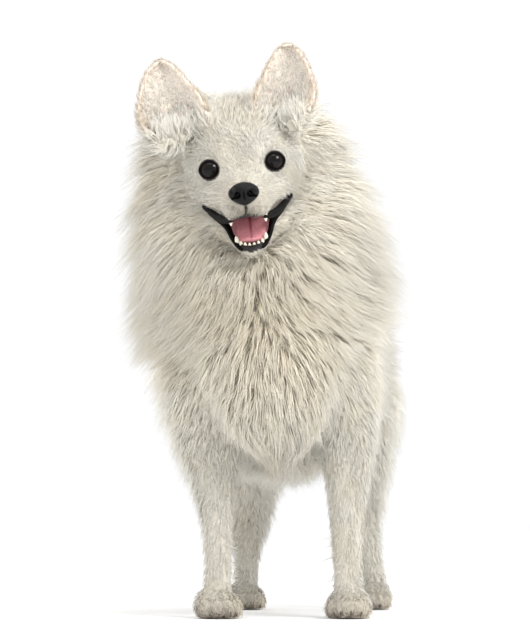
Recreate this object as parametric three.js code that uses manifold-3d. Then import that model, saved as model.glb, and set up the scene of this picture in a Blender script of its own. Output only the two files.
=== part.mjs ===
// A standing white pomeranian of the longer-legged kind, life size, in millimetres.
// +Z is up, the dog faces -Y and its left side is +X. It stands on the floor at Z = 0.
// Every limb is a closed tube of named stations, and the long coat is rows of flat, tapered locks
// that are rooted in the limb's core and fused to it.

import * as THREE from "three";
import { mergeVertices } from "three/addons/utils/BufferGeometryUtils.js";
import Module from "manifold-3d";

const wasm = await Module();
wasm.setup();

// Driving dimensions.
const gap = 0.3; // between neighbouring parts
const coreShare = 0.5; // how much of the long coat's depth is solid core under the locks
const innerCoatShare = 0.3; // the side of a leg that faces the other leg is thinly coated
const eyeHeight = 315.5;
const eyeForward = -62;
const eyeSideways = -26.5;
const headRoll = -7.5; // degrees, the dog's left ear is the higher one
const headPitch = 6; // degrees, the muzzle points a little down
const headYaw = -2; // degrees, the nose turns a little to the dog's right
const eyeSpacing = 43.5;
const eyeLevel = -2.8; // the eyeballs' centres, below the head's own origin
const eyeballRadius = 9;
const seed = 20611;

const colours = {
  coat: 0xe9e4d6,
  coatWarm: 0xd9cbb2,
  leather: 0x24201f,
  eye: 0x15100e,
  tongue: 0xc47886,
};

const materialOf = {
  coat: new THREE.MeshStandardMaterial({ color: colours.coat, roughness: 0.85, metalness: 0 }),
  paw: new THREE.MeshStandardMaterial({ color: colours.coatWarm, roughness: 0.85, metalness: 0 }),
  leather: new THREE.MeshStandardMaterial({ color: colours.leather, roughness: 0.45, metalness: 0 }),
  eye: new THREE.MeshStandardMaterial({ color: colours.eye, roughness: 0.08, metalness: 0 }),
  tongue: new THREE.MeshStandardMaterial({ color: colours.tongue, roughness: 0.4, metalness: 0 }),
};

// Seeded draws between two values, so that the coat is the same on each run.
let drawState = seed;
function draw(low, high) {
  drawState = (drawState + 0x6d2b79f5) | 0;
  let mixed = Math.imul(drawState ^ (drawState >>> 15), 1 | drawState);
  mixed = (mixed + Math.imul(mixed ^ (mixed >>> 7), 61 | mixed)) ^ mixed;
  return low + (((mixed ^ (mixed >>> 14)) >>> 0) / 4294967296) * (high - low);
}

const radians = THREE.MathUtils.degToRad;
const point = (x, y, z) => new THREE.Vector3(x, y, z);
const across = point(1, 0, 0);
const upward = point(0, 0, 1);

// A value read smoothly between the stations of a list, at t from 0 to 1.
function smoothly(values, t) {
  const last = values.length - 1;
  const at = Math.min(Math.max(t, 0), 1) * last;
  const i = Math.min(Math.floor(at), last - 1);
  const f = at - i;
  const [a, b, c, d] = [i - 1, i, i + 1, i + 2].map((k) => values[Math.min(Math.max(k, 0), last)]);
  return b + 0.5 * f * (c - a + f * (2 * a - 5 * b + 4 * c - d + f * (3 * (b - c) + d - a)));
}

// Closed solids, and what joins and cuts them.
function solidOf(geometry) {
  const bare = geometry.clone();
  bare.deleteAttribute("normal");
  bare.deleteAttribute("uv");
  const merged = mergeVertices(bare, 1e-4);
  const made = new wasm.Manifold(
    new wasm.Mesh({
      numProp: 3,
      vertProperties: merged.attributes.position.array,
      triVerts: new Uint32Array(merged.index.array),
    }),
  );
  return made;
}

function joined(solids) {
  return solids.reduce((whole, next) => whole.add(next));
}

function largest(solid) {
  const bodies = solid.decompose();
  return bodies.reduce((best, next) => (next.volume() > best.volume() ? next : best));
}

function geometryOf(solid) {
  const mesh = solid.getMesh();
  const places = new Float32Array(mesh.numVert * 3);
  for (let i = 0; i < mesh.numVert; i++) {
    places.set(mesh.vertProperties.subarray(i * mesh.numProp, i * mesh.numProp + 3), i * 3);
  }
  const geometry = new THREE.BufferGeometry();
  geometry.setAttribute("position", new THREE.BufferAttribute(places, 3));
  geometry.setIndex(new THREE.BufferAttribute(new Uint32Array(mesh.triVerts), 1));
  geometry.computeVertexNormals();
  return geometry;
}

// A closed skin over rings of points, with one pole at each end.
function ringed(rings, firstPole, lastPole) {
  const sides = rings[0].length;
  const points = [...rings.flat(), firstPole, lastPole];
  const first = points.length - 2;
  const last = points.length - 1;
  const faces = [];
  rings.slice(1).forEach((_, r) => {
    for (let k = 0; k < sides; k++) {
      const next = (k + 1) % sides;
      const a = r * sides + k;
      const b = r * sides + next;
      const c = (r + 1) * sides + next;
      const d = (r + 1) * sides + k;
      faces.push(a, c, b, a, d, c);
    }
  });
  const end = (rings.length - 1) * sides;
  for (let k = 0; k < sides; k++) {
    const next = (k + 1) % sides;
    faces.push(first, k, next);
    faces.push(last, end + next, end + k);
  }
  const geometry = new THREE.BufferGeometry().setFromPoints(points);
  geometry.setIndex(faces);
  return geometry;
}

// A limb runs through stations and has domed ends. A station is its place x, y, z, the half width
// and half height of the flesh, and the depth of the coat at the sides, above and below.
class Limb {
  constructor(stations, domes = [0.8, 0.8], innerSide = 0) {
    this.path = new THREE.CatmullRomCurve3(stations.map(([x, y, z]) => point(x, y, z)));
    [this.wide, this.high, this.sideCoat, this.upperCoat, this.lowerCoat] = [3, 4, 5, 6, 7].map(
      (column) => stations.map((station) => station[column] ?? station[5]),
    );
    this.domes = domes;
    this.innerSide = innerSide;
  }

  frame(t) {
    const along = this.path.getTangent(t);
    const side = across.clone().addScaledVector(along, -across.dot(along)).normalize();
    return { along, side, up: side.clone().cross(along) };
  }

  coatDepth(t, angle) {
    const turned = Math.sin(angle);
    const end = smoothly(turned > 0 ? this.upperCoat : this.lowerCoat, t);
    const share = Math.cos(angle) * this.innerSide > 0 ? innerCoatShare : 1;
    return THREE.MathUtils.lerp(smoothly(this.sideCoat, t) * share, end, turned * turned);
  }

  // The point at an angle round the limb, with 0 on the dog's left, share of the coat's depth out.
  surface(t, angle, share, grow = 0) {
    const { side, up } = this.frame(t);
    const extra = this.coatDepth(t, angle) * share + grow;
    return this.path
      .getPoint(t)
      .addScaledVector(side, Math.cos(angle) * (smoothly(this.wide, t) + extra))
      .addScaledVector(up, Math.sin(angle) * (smoothly(this.high, t) + extra));
  }

  outward(t, angle) {
    const small = 0.01;
    const here = this.surface(t, angle, coreShare);
    const round = this.surface(t, angle + small, coreShare).sub(here);
    const along = this.surface(t + (t > 0.5 ? -small : small), angle, coreShare).sub(here);
    const out = round.cross(along).normalize();
    return out.dot(here.sub(this.path.getPoint(t))) < 0 ? out.negate() : out;
  }

  solid({ sides, rings, share = coreShare, grow = 0 }) {
    const domeSteps = [0.9, 0.5];
    const list = [];
    const ringAt = (t, bulge) => {
      const centre = this.path.getPoint(t);
      const { along } = this.frame(t);
      const radius = (smoothly(this.wide, t) + smoothly(this.high, t)) / 2;
      const dome = (t < 0.5 ? -this.domes[0] : this.domes[1]) * (radius + grow);
      const shrink = Math.sqrt(1 - bulge * bulge);
      return Array.from({ length: sides }, (_, k) => {
        const rim = this.surface(t, (2 * Math.PI * k) / sides, share, grow);
        return rim.lerp(centre, 1 - shrink).addScaledVector(along, dome * bulge);
      });
    };
    domeSteps.forEach((bulge) => list.push(ringAt(0, bulge)));
    for (let r = 0; r <= rings; r++) list.push(ringAt(r / rings, 0));
    [...domeSteps].reverse().forEach((bulge) => list.push(ringAt(1, bulge)));
    const pole = (t) => {
      const radius = (smoothly(this.wide, t) + smoothly(this.high, t)) / 2 + grow;
      const reach = (t < 0.5 ? -this.domes[0] : this.domes[1]) * radius;
      return this.path.getPoint(t).addScaledVector(this.frame(t).along, reach);
    };
    return solidOf(ringed(list, pole(0), pole(1)));
  }
}

// One flat, tapered lock of hair. It leaves its root at the lift angle, bends to its lie and hangs.
const lockRings = [0, 0.4, 0.76];
const lockWidths = [0.85, 1, 0.62];
const lockFlatness = 0.24;
const lockThinnest = 1.3;
const lockRootDepth = 8;
const lockSteps = 16;
const shortestLock = 13; // shorter hair than this lies flat and isn't built

function lock({ root, outward, lie, length, width, lift, hang }, grow = 0) {
  const flat = lie.clone().addScaledVector(outward, -lie.dot(outward)).normalize();
  const whole = length + lockRootDepth;
  const at = root.clone().addScaledVector(outward, -lockRootDepth - grow);
  const sections = [];
  for (let i = 0; i <= lockSteps; i++) {
    const s = i / lockSteps;
    const raised = lift * (1 - 0.75 * s);
    const along = flat
      .clone()
      .multiplyScalar(Math.cos(raised))
      .addScaledVector(outward, Math.sin(raised))
      .addScaledVector(upward, -hang * s)
      .normalize();
    sections.push({ at: at.clone(), along: along.clone() });
    at.addScaledVector(along, (whole + 2 * grow) / lockSteps);
  }
  const rings = lockRings.map((s, r) => {
    const { at: centre, along: way } = sections[Math.round(s * lockSteps)];
    const over = outward.clone().addScaledVector(way, -outward.dot(way)).normalize();
    const side = way.clone().cross(over);
    const half = (width * lockWidths[r]) / 2 + grow;
    const ridge = Math.max(width * lockWidths[r] * lockFlatness, lockThinnest) + grow;
    return [
      centre.clone().addScaledVector(side, half).addScaledVector(over, -grow),
      centre.clone().addScaledVector(over, ridge),
      centre.clone().addScaledVector(side, -half).addScaledVector(over, -grow),
    ];
  });
  return solidOf(ringed(rings, sections[0].at, sections.at(-1).at));
}

// The locks of a limb, in staggered rows from its near end to its far end, wherever they are clear
// of everything that is already there. A lock that isn't clear is lifted once, shortened, then left.
const lockTries = [[1, 1], [1.4, 0.9], [1.7, 0.7]];
const touchingVolume = 1e-3;

function isClear(solid, others) {
  return others.every((other) => other.intersect(solid).volume() < touchingVolume);
}

function growLocks(places, others) {
  return places.flatMap((place) => {
    const fitting = lockTries.find(([raise, shorten]) => {
      const tried = { ...place, lift: place.lift * raise, length: place.length * shorten };
      return isClear(lock(tried, gap), others);
    });
    if (!fitting) return [];
    const [raise, shorten] = fitting;
    return [lock({ ...place, lift: place.lift * raise, length: place.length * shorten })];
  });
}

// Where a limb's locks start. Every setting but the row count is a list from the first row to the
// last one, and angles are in degrees round the limb, with 0 on the dog's left and 90 on its back.
function lockPlaces(limb, { rows, count, t, angles, reach, width, lift, hang, lean = [0] }) {
  const places = [];
  for (let r = 0; r < rows; r++) {
    const share = rows > 1 ? r / (rows - 1) : 0;
    const each = Math.round(smoothly(count, share));
    const at = THREE.MathUtils.lerp(t[0], t[1], share);
    const [low, high] = angles;
    for (let k = 0; k < each; k++) {
      const step = (high - low) / each;
      const angle = radians(low + step * (k + 0.25 + 0.5 * (r % 2) + draw(-0.16, 0.16)));
      const place = THREE.MathUtils.clamp(at + draw(-0.03, 0.03), 0.01, 0.99);
      const outward = limb.outward(place, angle);
      const { along, side } = limb.frame(place);
      places.push({
        root: limb.surface(place, angle, coreShare),
        outward,
        lie: along.addScaledVector(side, smoothly(lean, share)),
        length: limb.coatDepth(place, angle) * smoothly(reach, share) * draw(0.85, 1.15),
        width: smoothly(width, share) * draw(0.85, 1.15),
        lift: radians(smoothly(lift, share) + draw(-5, 5)),
        hang: smoothly(hang, share),
      });
    }
  }
  return places.filter((place) => place.length > shortestLock);
}

// The head is made level and facing -Y about the middle of the eyes, then placed.
const headPlace = new THREE.Matrix4()
  .makeRotationFromEuler(
    new THREE.Euler(radians(headPitch), radians(headRoll), radians(headYaw), "ZYX"),
  )
  .setPosition(eyeSideways, eyeForward, eyeHeight);

const placed = (geometry) => solidOf(geometry.applyMatrix4(headPlace));

// Sections of skull and muzzle: forward place, half width, top, widest level, bottom, short coat.
const headSections = [
  [-46, 8, -18, -26, -33, 1.5],
  [-42, 12.5, -13, -26, -36.5, 2],
  [-34, 15.5, -10.5, -26, -38, 2],
  [-24, 17.5, -9, -26, -38, 2.5],
  [-15, 20.5, -6, -24, -36.5, 3],
  [-8, 25, 4, -19, -35, 3.5],
  [-1, 29.5, 17, -13, -34, 5],
  [9, 33, 28, -8, -35, 6],
  [22, 35, 34.5, -4, -36, 7],
  [35, 33.5, 34, -2, -34, 8],
  [47, 26, 26, -2, -27, 9],
  [56, 12, 10, -2, -14, 8],
];
const headColumns = [0, 1, 2, 3, 4, 5].map((c) => headSections.map((row) => row[c]));

function headRing(t, sides, grow) {
  const [y, wide, top, level, bottom, fur] = headColumns.map((column) => smoothly(column, t));
  const extra = fur + grow;
  return Array.from({ length: sides }, (_, k) => {
    const angle = (2 * Math.PI * k) / sides;
    const c = Math.cos(angle);
    const s = Math.sin(angle);
    const reach = s > 0 ? top - level + extra : level - bottom + extra * 0.5;
    const x = Math.sign(c) * Math.abs(c) ** (s < 0 ? 0.72 : 0.9) * (wide + extra);
    return point(x, y, level + reach * s);
  });
}

function headShell({ sides = 24, rings = 17, grow = 0 } = {}) {
  const list = Array.from({ length: rings + 1 }, (_, r) => headRing(r / rings, sides, grow));
  const centre = (ring) => ring.reduce((sum, p) => sum.add(p), point(0, 0, 0)).divideScalar(sides);
  const front = centre(list[0]).add(point(0, -2.5 - grow, 0));
  const back = centre(list.at(-1)).add(point(0, 4 + grow, 0));
  return placed(ringed(list, front, back));
}

// Locks on the cheeks and behind the ears: place along the head, angle up from its side, length.
const cheekLocks = [
  [2, -50, 20],
  [7, -24, 24],
  [8, 4, 22],
  [13, -62, 26],
  [15, -38, 30],
  [17, -10, 30],
  [19, 18, 28],
  [25, -28, 34],
  [27, 4, 34],
  [30, 38, 28],
  [34, 64, 26],
];

function cheekPlaces(side) {
  const turned = new THREE.Matrix3().setFromMatrix4(headPlace);
  const sides = 72;
  return cheekLocks.map(([y, angle, length]) => {
    const t = (y - headSections[0][0]) / (headSections.at(-1)[0] - headSections[0][0]);
    const ring = headRing(t, sides, 0);
    const k = (Math.round(angle / (360 / sides)) + sides) % sides;
    const root = ring[k].clone().setX(side * ring[k].x).setY(y);
    const outward = point(root.x, 0.25 * y, root.z * 0.8).normalize();
    return {
      root: root.applyMatrix4(headPlace),
      outward: outward.applyMatrix3(turned),
      lie: point(side * 0.35, 1, angle / 90 - 0.25).normalize().applyMatrix3(turned),
      length: length * draw(0.9, 1.1),
      width: draw(13, 17),
      lift: radians(draw(30, 42)),
      hang: 0.15,
    };
  });
}

// A ball stretched to three half sizes, turned, and set at a place.
function ball(at, sizes, segments = [14, 10], turn = [0, 0, 0]) {
  const geometry = new THREE.SphereGeometry(1, ...segments);
  geometry.scale(...sizes);
  geometry.applyMatrix4(
    new THREE.Matrix4().makeRotationFromEuler(new THREE.Euler(...turn.map(radians))),
  );
  return geometry.translate(...at);
}

// A round cord of varying thickness through a few points, such as a lip.
function lipCord(points, radii, sides = 5, steps = 14) {
  const path = new THREE.CatmullRomCurve3(points.map((p) => point(...p)));
  const rings = Array.from({ length: steps + 1 }, (_, r) => {
    const t = r / steps;
    const along = path.getTangent(t);
    const side = upward.clone().cross(along).normalize();
    const up = side.clone().cross(along);
    return Array.from({ length: sides }, (_, k) => {
      const angle = (2 * Math.PI * k) / sides;
      return path
        .getPoint(t)
        .addScaledVector(side, Math.cos(angle) * smoothly(radii, t))
        .addScaledVector(up, Math.sin(angle) * smoothly(radii, t));
    });
  });
  return ringed(rings, path.getPoint(0), path.getPoint(1));
}

const mirrored = (list) => [...list, ...list.slice(0, -1).reverse().map(([x, y, z]) => [-x, y, z])];

const upperLipLine = mirrored([
  [-30, 5, -27.5],
  [-24, -6, -33.5],
  [-17.5, -20, -37.5],
  [-12, -33, -38.5],
  [-5.5, -43, -37],
  [0, -45, -34.5],
]);
const lowerLipLine = mirrored([
  [-30, 6, -28.5],
  [-22.5, 3, -37],
  [-17, -5, -45],
  [-13, -14, -53.5],
  [-7.5, -21.5, -59],
  [0, -24.5, -60.5],
]);

function upperLip() {
  return placed(lipCord(upperLipLine, [1.2, 1.9, 2, 1.9, 1.8, 1.6, 1.8, 1.9, 2, 1.9, 1.2]));
}

function lowerLip(grow = 0) {
  const radii = [1, 2.2, 2.4, 2.3, 2.1, 2, 2.1, 2.3, 2.4, 2.2, 1];
  return placed(lipCord(lowerLipLine, radii.map((radius) => radius + grow)));
}

const eyePlace = (side) => [(side * eyeSpacing) / 2, 0, eyeLevel];
const eyeAim = { yaw: 16, pitch: 4 };

function eye(side, grow = 0) {
  const radius = eyeballRadius + grow;
  return placed(ball(eyePlace(side), [radius, radius, radius], [12, 8]));
}

// The opening between the lids, in front of the eyeball.
function socket(side) {
  const aim = radians(side * eyeAim.yaw);
  const [x, y, z] = eyePlace(side);
  const reach = 9.5;
  const at = [x + Math.sin(aim) * reach, y - Math.cos(aim) * reach, z];
  return placed(ball(at, [7.4, 8, 7.1], [12, 8], [0, 0, side * eyeAim.yaw]));
}

// The lids are an almond ring round the opening, thicker above than below.
function lids(side) {
  const ring = new THREE.TorusGeometry(7.9, 1.9, 5, 12);
  ring.scale(1.06, 0.97, 1);
  ring.rotateX(radians(90));
  ring.translate(0, -4.4, 0);
  ring.applyMatrix4(
    new THREE.Matrix4().makeRotationFromEuler(
      new THREE.Euler(radians(-eyeAim.pitch), 0, radians(side * eyeAim.yaw)),
    ),
  );
  return placed(ring.translate(...eyePlace(side)));
}

function upperCanine(side) {
  const fang = new THREE.ConeGeometry(1.7, 9, 5);
  fang.rotateX(radians(180));
  return placed(fang.translate(side * 11.3, -33.5, -37.5));
}

const noseAt = [0, -48, -20.5];
const noseSizes = [10.6, 6.2, 7.9];

function nosePad(grow = 0) {
  const [w, d, h] = noseSizes.map((size) => size + grow);
  const pad = ball(noseAt, [w, d, h], [12, 8]);
  const places = pad.attributes.position;
  const narrowing = 0.34;
  for (let i = 0; i < places.count; i++) {
    const below = Math.max(0, (noseAt[2] - places.getZ(i)) / h);
    places.setX(i, places.getX(i) * (1 - narrowing * below ** 1.5));
  }
  return placed(pad);
}

function nostrils() {
  const pits = [-1, 1].flatMap((side) => [
    placed(ball([side * 4.9, -53.6, -21], [2, 3.4, 1.9], [6, 4])),
    placed(ball([side * 7.6, -51.8, -22.4], [2.4, 2.6, 1], [6, 4], [0, side * 24, 0])),
  ]);
  const groove = new THREE.BoxGeometry(0.8, 5, 8).translate(0, -55.2, -26.5);
  return joined([...pits, placed(groove)]);
}

function mouthRoof() {
  return joined([
    placed(ball([0, -14, -40.5], [13.5, 27, 8.5], [10, 6])),
    placed(ball([0, 6, -41], [20, 20, 9], [10, 6])),
  ]);
}

// The jaw hangs open. Its stations run from the throat to the chin, level with the head's frame.
const jawStations = [
  [0, 24, -39, 25, 9, 1.5],
  [0, 12, -44.5, 21.5, 9, 1.5],
  [0, 0, -50.5, 16.5, 8, 1.2],
  [0, -11, -56.5, 13, 6.6, 1],
  [0, -19, -61, 10, 5.2, 0.8],
  [0, -23, -63.5, 7, 3.8, 0.5],
];

function inHead(stations) {
  return stations.map(([x, y, z, ...sizes]) => {
    const at = point(x, y, z).applyMatrix4(headPlace);
    return [at.x, at.y, at.z, ...sizes];
  });
}

const jawLimb = new Limb(inHead(jawStations), [0.3, 0.5]);

function jawTrough() {
  return placed(ball([0, -3, -46.5], [12.6, 23, 6.2], [10, 6], [26, 0, 0]));
}

function lowerTeeth() {
  const teeth = [];
  [-3.6, -1.2, 1.2, 3.6].forEach((x) => {
    teeth.push(placed(ball([x, -20.6 + Math.abs(x) * 0.3, -57.2], [1.1, 1, 2.6], [5, 4])));
  });
  [-1, 1].forEach((side) => {
    const fang = new THREE.ConeGeometry(1.6, 8, 5).rotateX(radians(12));
    teeth.push(placed(fang.translate(side * 9.6, -16.5, -53)));
  });
  return teeth;
}

function tongue(grow = 0) {
  const stations = inHead([
    [0, 14, -38, 11.5, 3.4, 0],
    [0, 4, -43, 12.6, 3.4, 0],
    [0, -6, -48.6, 12, 3, 0],
    [0, -14.5, -53.4, 9, 2.3, 0],
  ]);
  return new Limb(stations, [0.25, 0.45]).solid({ sides: 12, rings: 5, share: 0, grow });
}

// Each ear is a cupped, rounded triangle that opens forward and a little outward.
const earLine = [
  [26, 15, 22],
  [33, 14, 34],
  [37.5, 13, 46],
  [39.5, 11, 59],
  [41.5, 10, 71],
];
const earHalfWidths = [15, 19, 18, 13.5, 5];
const rightEarTurn = 3;
const earThickness = 3.2;
const earCup = 9;

function earSheet(side, u, v) {
  const [x, y, z] = [0, 1, 2].map((axis) => smoothly(earLine.map((p) => p[axis]), v));
  const turned = side < 0 ? rightEarTurn : 0;
  const half = smoothly(earHalfWidths, v) + turned * (1 - v);
  const cup = earCup * (1 - 0.55 * v) * (u * u - 0.35);
  const lean = 0.18;
  const middle = x + turned * (1 - 0.4 * v);
  return point(side * (middle + half * u), y - cup - lean * half * u, z - 0.16 * half * u);
}

function ear(side) {
  const columns = 6;
  const levels = 7;
  const small = 0.01;
  const sheetPoint = (i, j, half) => {
    const u = (2 * i) / columns - 1;
    const v = j / levels;
    const here = earSheet(side, u, v);
    const du = earSheet(side, u + small, v).sub(here);
    const dv = earSheet(side, u, v + (v > 0.5 ? -small : small)).sub(here);
    if (v > 0.5) dv.negate();
    return here.addScaledVector(du.cross(dv).normalize(), half);
  };
  const loop = [];
  for (let j = 0; j <= levels; j++) {
    const ring = [];
    for (let i = 0; i <= columns; i++) ring.push(sheetPoint(i, j, (side * earThickness) / 2));
    for (let i = columns; i >= 0; i--) ring.push(sheetPoint(i, j, (-side * earThickness) / 2));
    loop.push(side < 0 ? ring : ring.reverse());
  }
  const middle = (ring) => {
    const sum = ring.reduce((total, p) => total.clone().add(p), point(0, 0, 0));
    return sum.divideScalar(ring.length);
  };
  return placed(ringed(loop, middle(loop[0]), middle(loop.at(-1))));
}

// The trunk of the body. The neck runs down from behind the skull, with the nape as its upper side.
const neckLimb = new Limb([
  [-28, 4, 344, 20, 15, 56, 26, 2],
  [-26, -6, 320, 28, 24, 60, 30, 3],
  [-20, -9, 283, 35, 36, 58, 38, 12],
  [-13, -2, 248, 43, 46, 54, 42, 28],
  [-8, 4, 214, 46, 50, 47, 42, 36],
  [-6, 2, 178, 41, 46, 42, 38, 34],
], [0.5, 0.75]);

const torsoLimb = new Limb([
  [-6, -12, 184, 36, 44, 36, 22, 28],
  [-5, 8, 184, 44, 51, 42, 24, 30],
  [-3, 45, 185, 49, 55, 42, 24, 32],
  [3, 95, 188, 47, 51, 42, 24, 34],
  [9, 145, 193, 41, 44, 42, 25, 32],
  [13, 183, 198, 38, 42, 42, 26, 26],
  [15, 206, 200, 29, 34, 40, 26, 25],
  [15, 222, 200, 15, 19, 34, 22, 25],
], [0.5, 0.3]);

// The tail is carried over the back, in two lengths.
const tailStations = [
  [15, 208, 222, 11, 11, 14, 14, 14],
  [15, 226, 248, 10, 10, 26, 16, 20],
  [14, 220, 276, 8.5, 8.5, 36, 20, 28],
  [12, 194, 293, 7.5, 7.5, 38, 24, 30],
  [9, 156, 297, 6.5, 6.5, 38, 26, 30],
  [6, 120, 292, 5.5, 5.5, 34, 24, 27],
  [4, 96, 282, 4, 4, 26, 20, 22],
];
const tailBaseLimb = new Limb(tailStations.slice(0, 4), [0.5, 0]);
const tailTipLimb = new Limb(tailStations.slice(3), [0, 1.2]);

const footOf = {
  front_right: { at: [-44.5, -8], turn: 16, size: 1 },
  front_left: { at: [48, -8], turn: -5, size: 1 },
  hind_right: { at: [-25, 203], turn: 8, size: 0.9 },
  hind_left: { at: [70, 203], turn: -14, size: 0.9 },
};

// The legs run down, so their rear is the upper side and carries the longer hair.
const legDomes = [0.8, 0.8];

const frontLegOf = {
  front_right: new Limb([
    [-40, -4, 168, 22, 26, 6, 10, 6],
    [-45, 8, 134, 16.5, 20, 6, 12, 6],
    [-44.5, 5, 100, 12.5, 14, 5.5, 12, 5],
    [-43.5, 2, 66, 9.4, 10.5, 4.5, 7, 4],
    [-43, 0, 34, 8.6, 9.2, 3.6, 5, 3.5],
    [-44, -3, 15, 9.6, 10, 3, 3, 3],
  ], legDomes, 1),
  front_left: new Limb([
    [35, -4, 168, 22, 26, 6, 10, 6],
    [44, 8, 134, 16.5, 20, 6, 12, 6],
    [46, 5, 100, 13, 14, 5.5, 12, 5],
    [46, 2, 66, 10, 10.5, 4.5, 7, 4],
    [47, 0, 34, 9, 9.2, 3.6, 5, 3.5],
    [47.5, -3, 15, 9.8, 10, 3, 3, 3],
  ], legDomes, -1),
};

const hindLegOf = {
  hind_right: new Limb([
    [-12, 176, 188, 24, 38, 26, 36, 16],
    [-19, 164, 150, 21, 31, 28, 40, 16],
    [-21, 182, 114, 13.5, 20, 18, 34, 8],
    [-21, 210, 76, 8.6, 11, 7, 16, 4],
    [-23, 212, 44, 7.4, 8.4, 5, 6, 4],
    [-25, 208, 16, 8.2, 8.6, 3, 3, 3],
  ], legDomes, 1),
  hind_left: new Limb([
    [38, 176, 188, 24, 38, 26, 36, 16],
    [51, 164, 150, 21, 31, 28, 40, 16],
    [58, 182, 114, 13.5, 20, 18, 34, 8],
    [62, 210, 76, 8.6, 11, 7, 16, 4],
    [66, 212, 44, 7.4, 8.4, 5, 6, 4],
    [70, 208, 16, 8.2, 8.6, 3, 3, 3],
  ], legDomes, -1),
};

// A paw: a low body, four toes with a short claw each, and a flat sole on the floor.
const toeRow = [
  { x: -9.6, y: -8.5, length: 8, width: 4.7 },
  { x: -3.7, y: -13.5, length: 8.5, width: 4.9 },
  { x: 3.7, y: -13.5, length: 8.5, width: 4.9 },
  { x: 9.6, y: -8.5, length: 8, width: 4.7 },
];

function paw(name, grow = 0) {
  const { at, turn, size } = footOf[name];
  const place = new THREE.Matrix4()
    .makeRotationZ(radians(-turn))
    .scale(point(size, size, size))
    .setPosition(at[0], at[1], 0);
  const set = (geometry) => solidOf(geometry.applyMatrix4(place));
  const pieces = [
    set(ball([0, 2, 9.5], [13.5 + grow, 16 + grow, 11 + grow], [10, 5])),
    ...toeRow.map(({ x, y, length, width }) =>
      set(ball([x, y, 6.4], [width + grow, length + grow, 6.9 + grow], [6, 4], [-14, 0, 0])),
    ),
  ];
  if (!grow) {
    toeRow.forEach(({ x, y, length }) => {
      const claw = new THREE.ConeGeometry(1.5, 9, 4).rotateX(radians(118));
      pieces.push(set(claw.translate(x, y - length - 0.5, 5)));
    });
  }
  const underFloor = solidOf(new THREE.BoxGeometry(200, 200, 40).translate(at[0], at[1], -20));
  return joined(pieces).subtract(underFloor);
}

// Where each part is solid, without its locks. The names are the nodes' names.
function cores() {
  const made = {};
  const fat = {};
  const keep = (name, solid, grown) => {
    made[name] = solid;
    fat[name] = grown ?? solid;
  };
  const fatEyes = [eye(-1, gap), eye(1, gap)];
  const sockets = joined([socket(-1), socket(1)]);
  const skull = joined([
    headShell().subtract(sockets),
    lids(-1),
    lids(1),
    upperLip(),
  ]).subtract(mouthRoof());
  const head = joined([skull, upperCanine(-1), upperCanine(1)])
    .subtract(joined(fatEyes))
    .subtract(nosePad(gap))
    .subtract(tongue(gap));
  keep("head", head, joined([headShell({ grow: gap }), lids(-1), lids(1)]));
  keep("nose", nosePad().subtract(nostrils()));
  keep("eye_right", eye(-1));
  keep("eye_left", eye(1));

  const jawSize = { sides: 12, rings: 5 };
  const jaw = joined([jawLimb.solid(jawSize), lowerLip()])
    .subtract(jawTrough())
    .subtract(skullClear());
  keep(
    "jaw",
    joined([jaw, ...lowerTeeth()]).subtract(tongue(gap)),
    joined([jawLimb.solid({ ...jawSize, grow: gap }), lowerLip(gap)]),
  );
  keep("tongue", tongue());

  [["ear_right", -1], ["ear_left", 1]].forEach(([name, side]) => {
    keep(name, ear(side).subtract(headShell({ grow: gap })));
  });

  const neckSize = { sides: 18, rings: 10 };
  const neck = neckLimb
    .solid(neckSize)
    .subtract(fat.head)
    .subtract(fat.jaw)
    .subtract(joined([ear(-1), ear(1)]));
  keep("neck", neck, neckLimb.solid({ ...neckSize, grow: gap }));

  const torsoSize = { sides: 18, rings: 11 };
  const torso = torsoLimb.solid(torsoSize).subtract(fat.neck);
  keep("torso", torso, joined([torsoLimb.solid({ ...torsoSize, grow: gap }), fat.neck]));

  const tailSize = { sides: 12, rings: 7 };
  const tailBase = tailBaseLimb.solid(tailSize).subtract(fat.torso);
  keep("tail_base", tailBase, tailBaseLimb.solid({ ...tailSize, grow: gap }));
  keep("tail_tip", tailTipLimb.solid(tailSize).subtract(fat.torso).subtract(fat.tail_base));

  const legSize = { sides: 10, rings: 10 };
  const clearOf = {
    front: joined([fat.torso, fat.neck]),
    hind: joined([fat.torso, hindLegOf.hind_right.solid({ ...legSize, grow: gap })]),
  };
  Object.entries({ ...frontLegOf, ...hindLegOf }).forEach(([name, limb]) => {
    const others = name === "hind_right" ? fat.torso : clearOf[name.split("_")[0]];
    const leg = limb.solid(legSize).subtract(others).subtract(paw(name, gap));
    keep(name + "_leg", leg);
    keep(name + "_paw", paw(name));
  });
  return made;
}

// The skull as the jaw sees it: its fur side, with the mouth's roof left out of it.
function skullClear() {
  return headShell({ grow: gap }).subtract(mouthRoof());
}

// The long coat of each part that has one, in the order in which the locks are laid.
const ruff = {
  rows: 8,
  count: [8, 10, 11, 10, 9],
  t: [0.02, 0.9],
  angles: [-90, 270],
  reach: [0.95, 1.1, 1.3, 1.35, 1.5],
  width: [30, 29, 29, 28],
  lift: [50, 48, 42, 36, 30],
  hang: [-0.5, -0.1, 0.35, 0.6],
};
const flanks = {
  rows: 7,
  count: [9, 10, 10, 9, 7],
  t: [0.12, 0.97],
  angles: [-90, 270],
  reach: [1.4, 1.5, 1.5, 1.3],
  width: [29, 30, 28],
  lift: [32, 30, 30],
  hang: [0.7, 0.7, 0.9],
};
const plume = {
  rows: 3,
  count: [7, 8, 7],
  t: [0.1, 0.92],
  angles: [-90, 270],
  reach: [1.15, 1.2, 1.4],
  width: [20, 21, 18],
  lift: [34, 34, 28],
  hang: [0.1],
};
const breeches = {
  rows: 5,
  count: [4, 5, 4, 3],
  t: [0.08, 0.7],
  reach: [1.1, 1.25, 1.3],
  width: [25, 24, 17],
  lift: [30, 32, 28],
  hang: [0.3],
};
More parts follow.
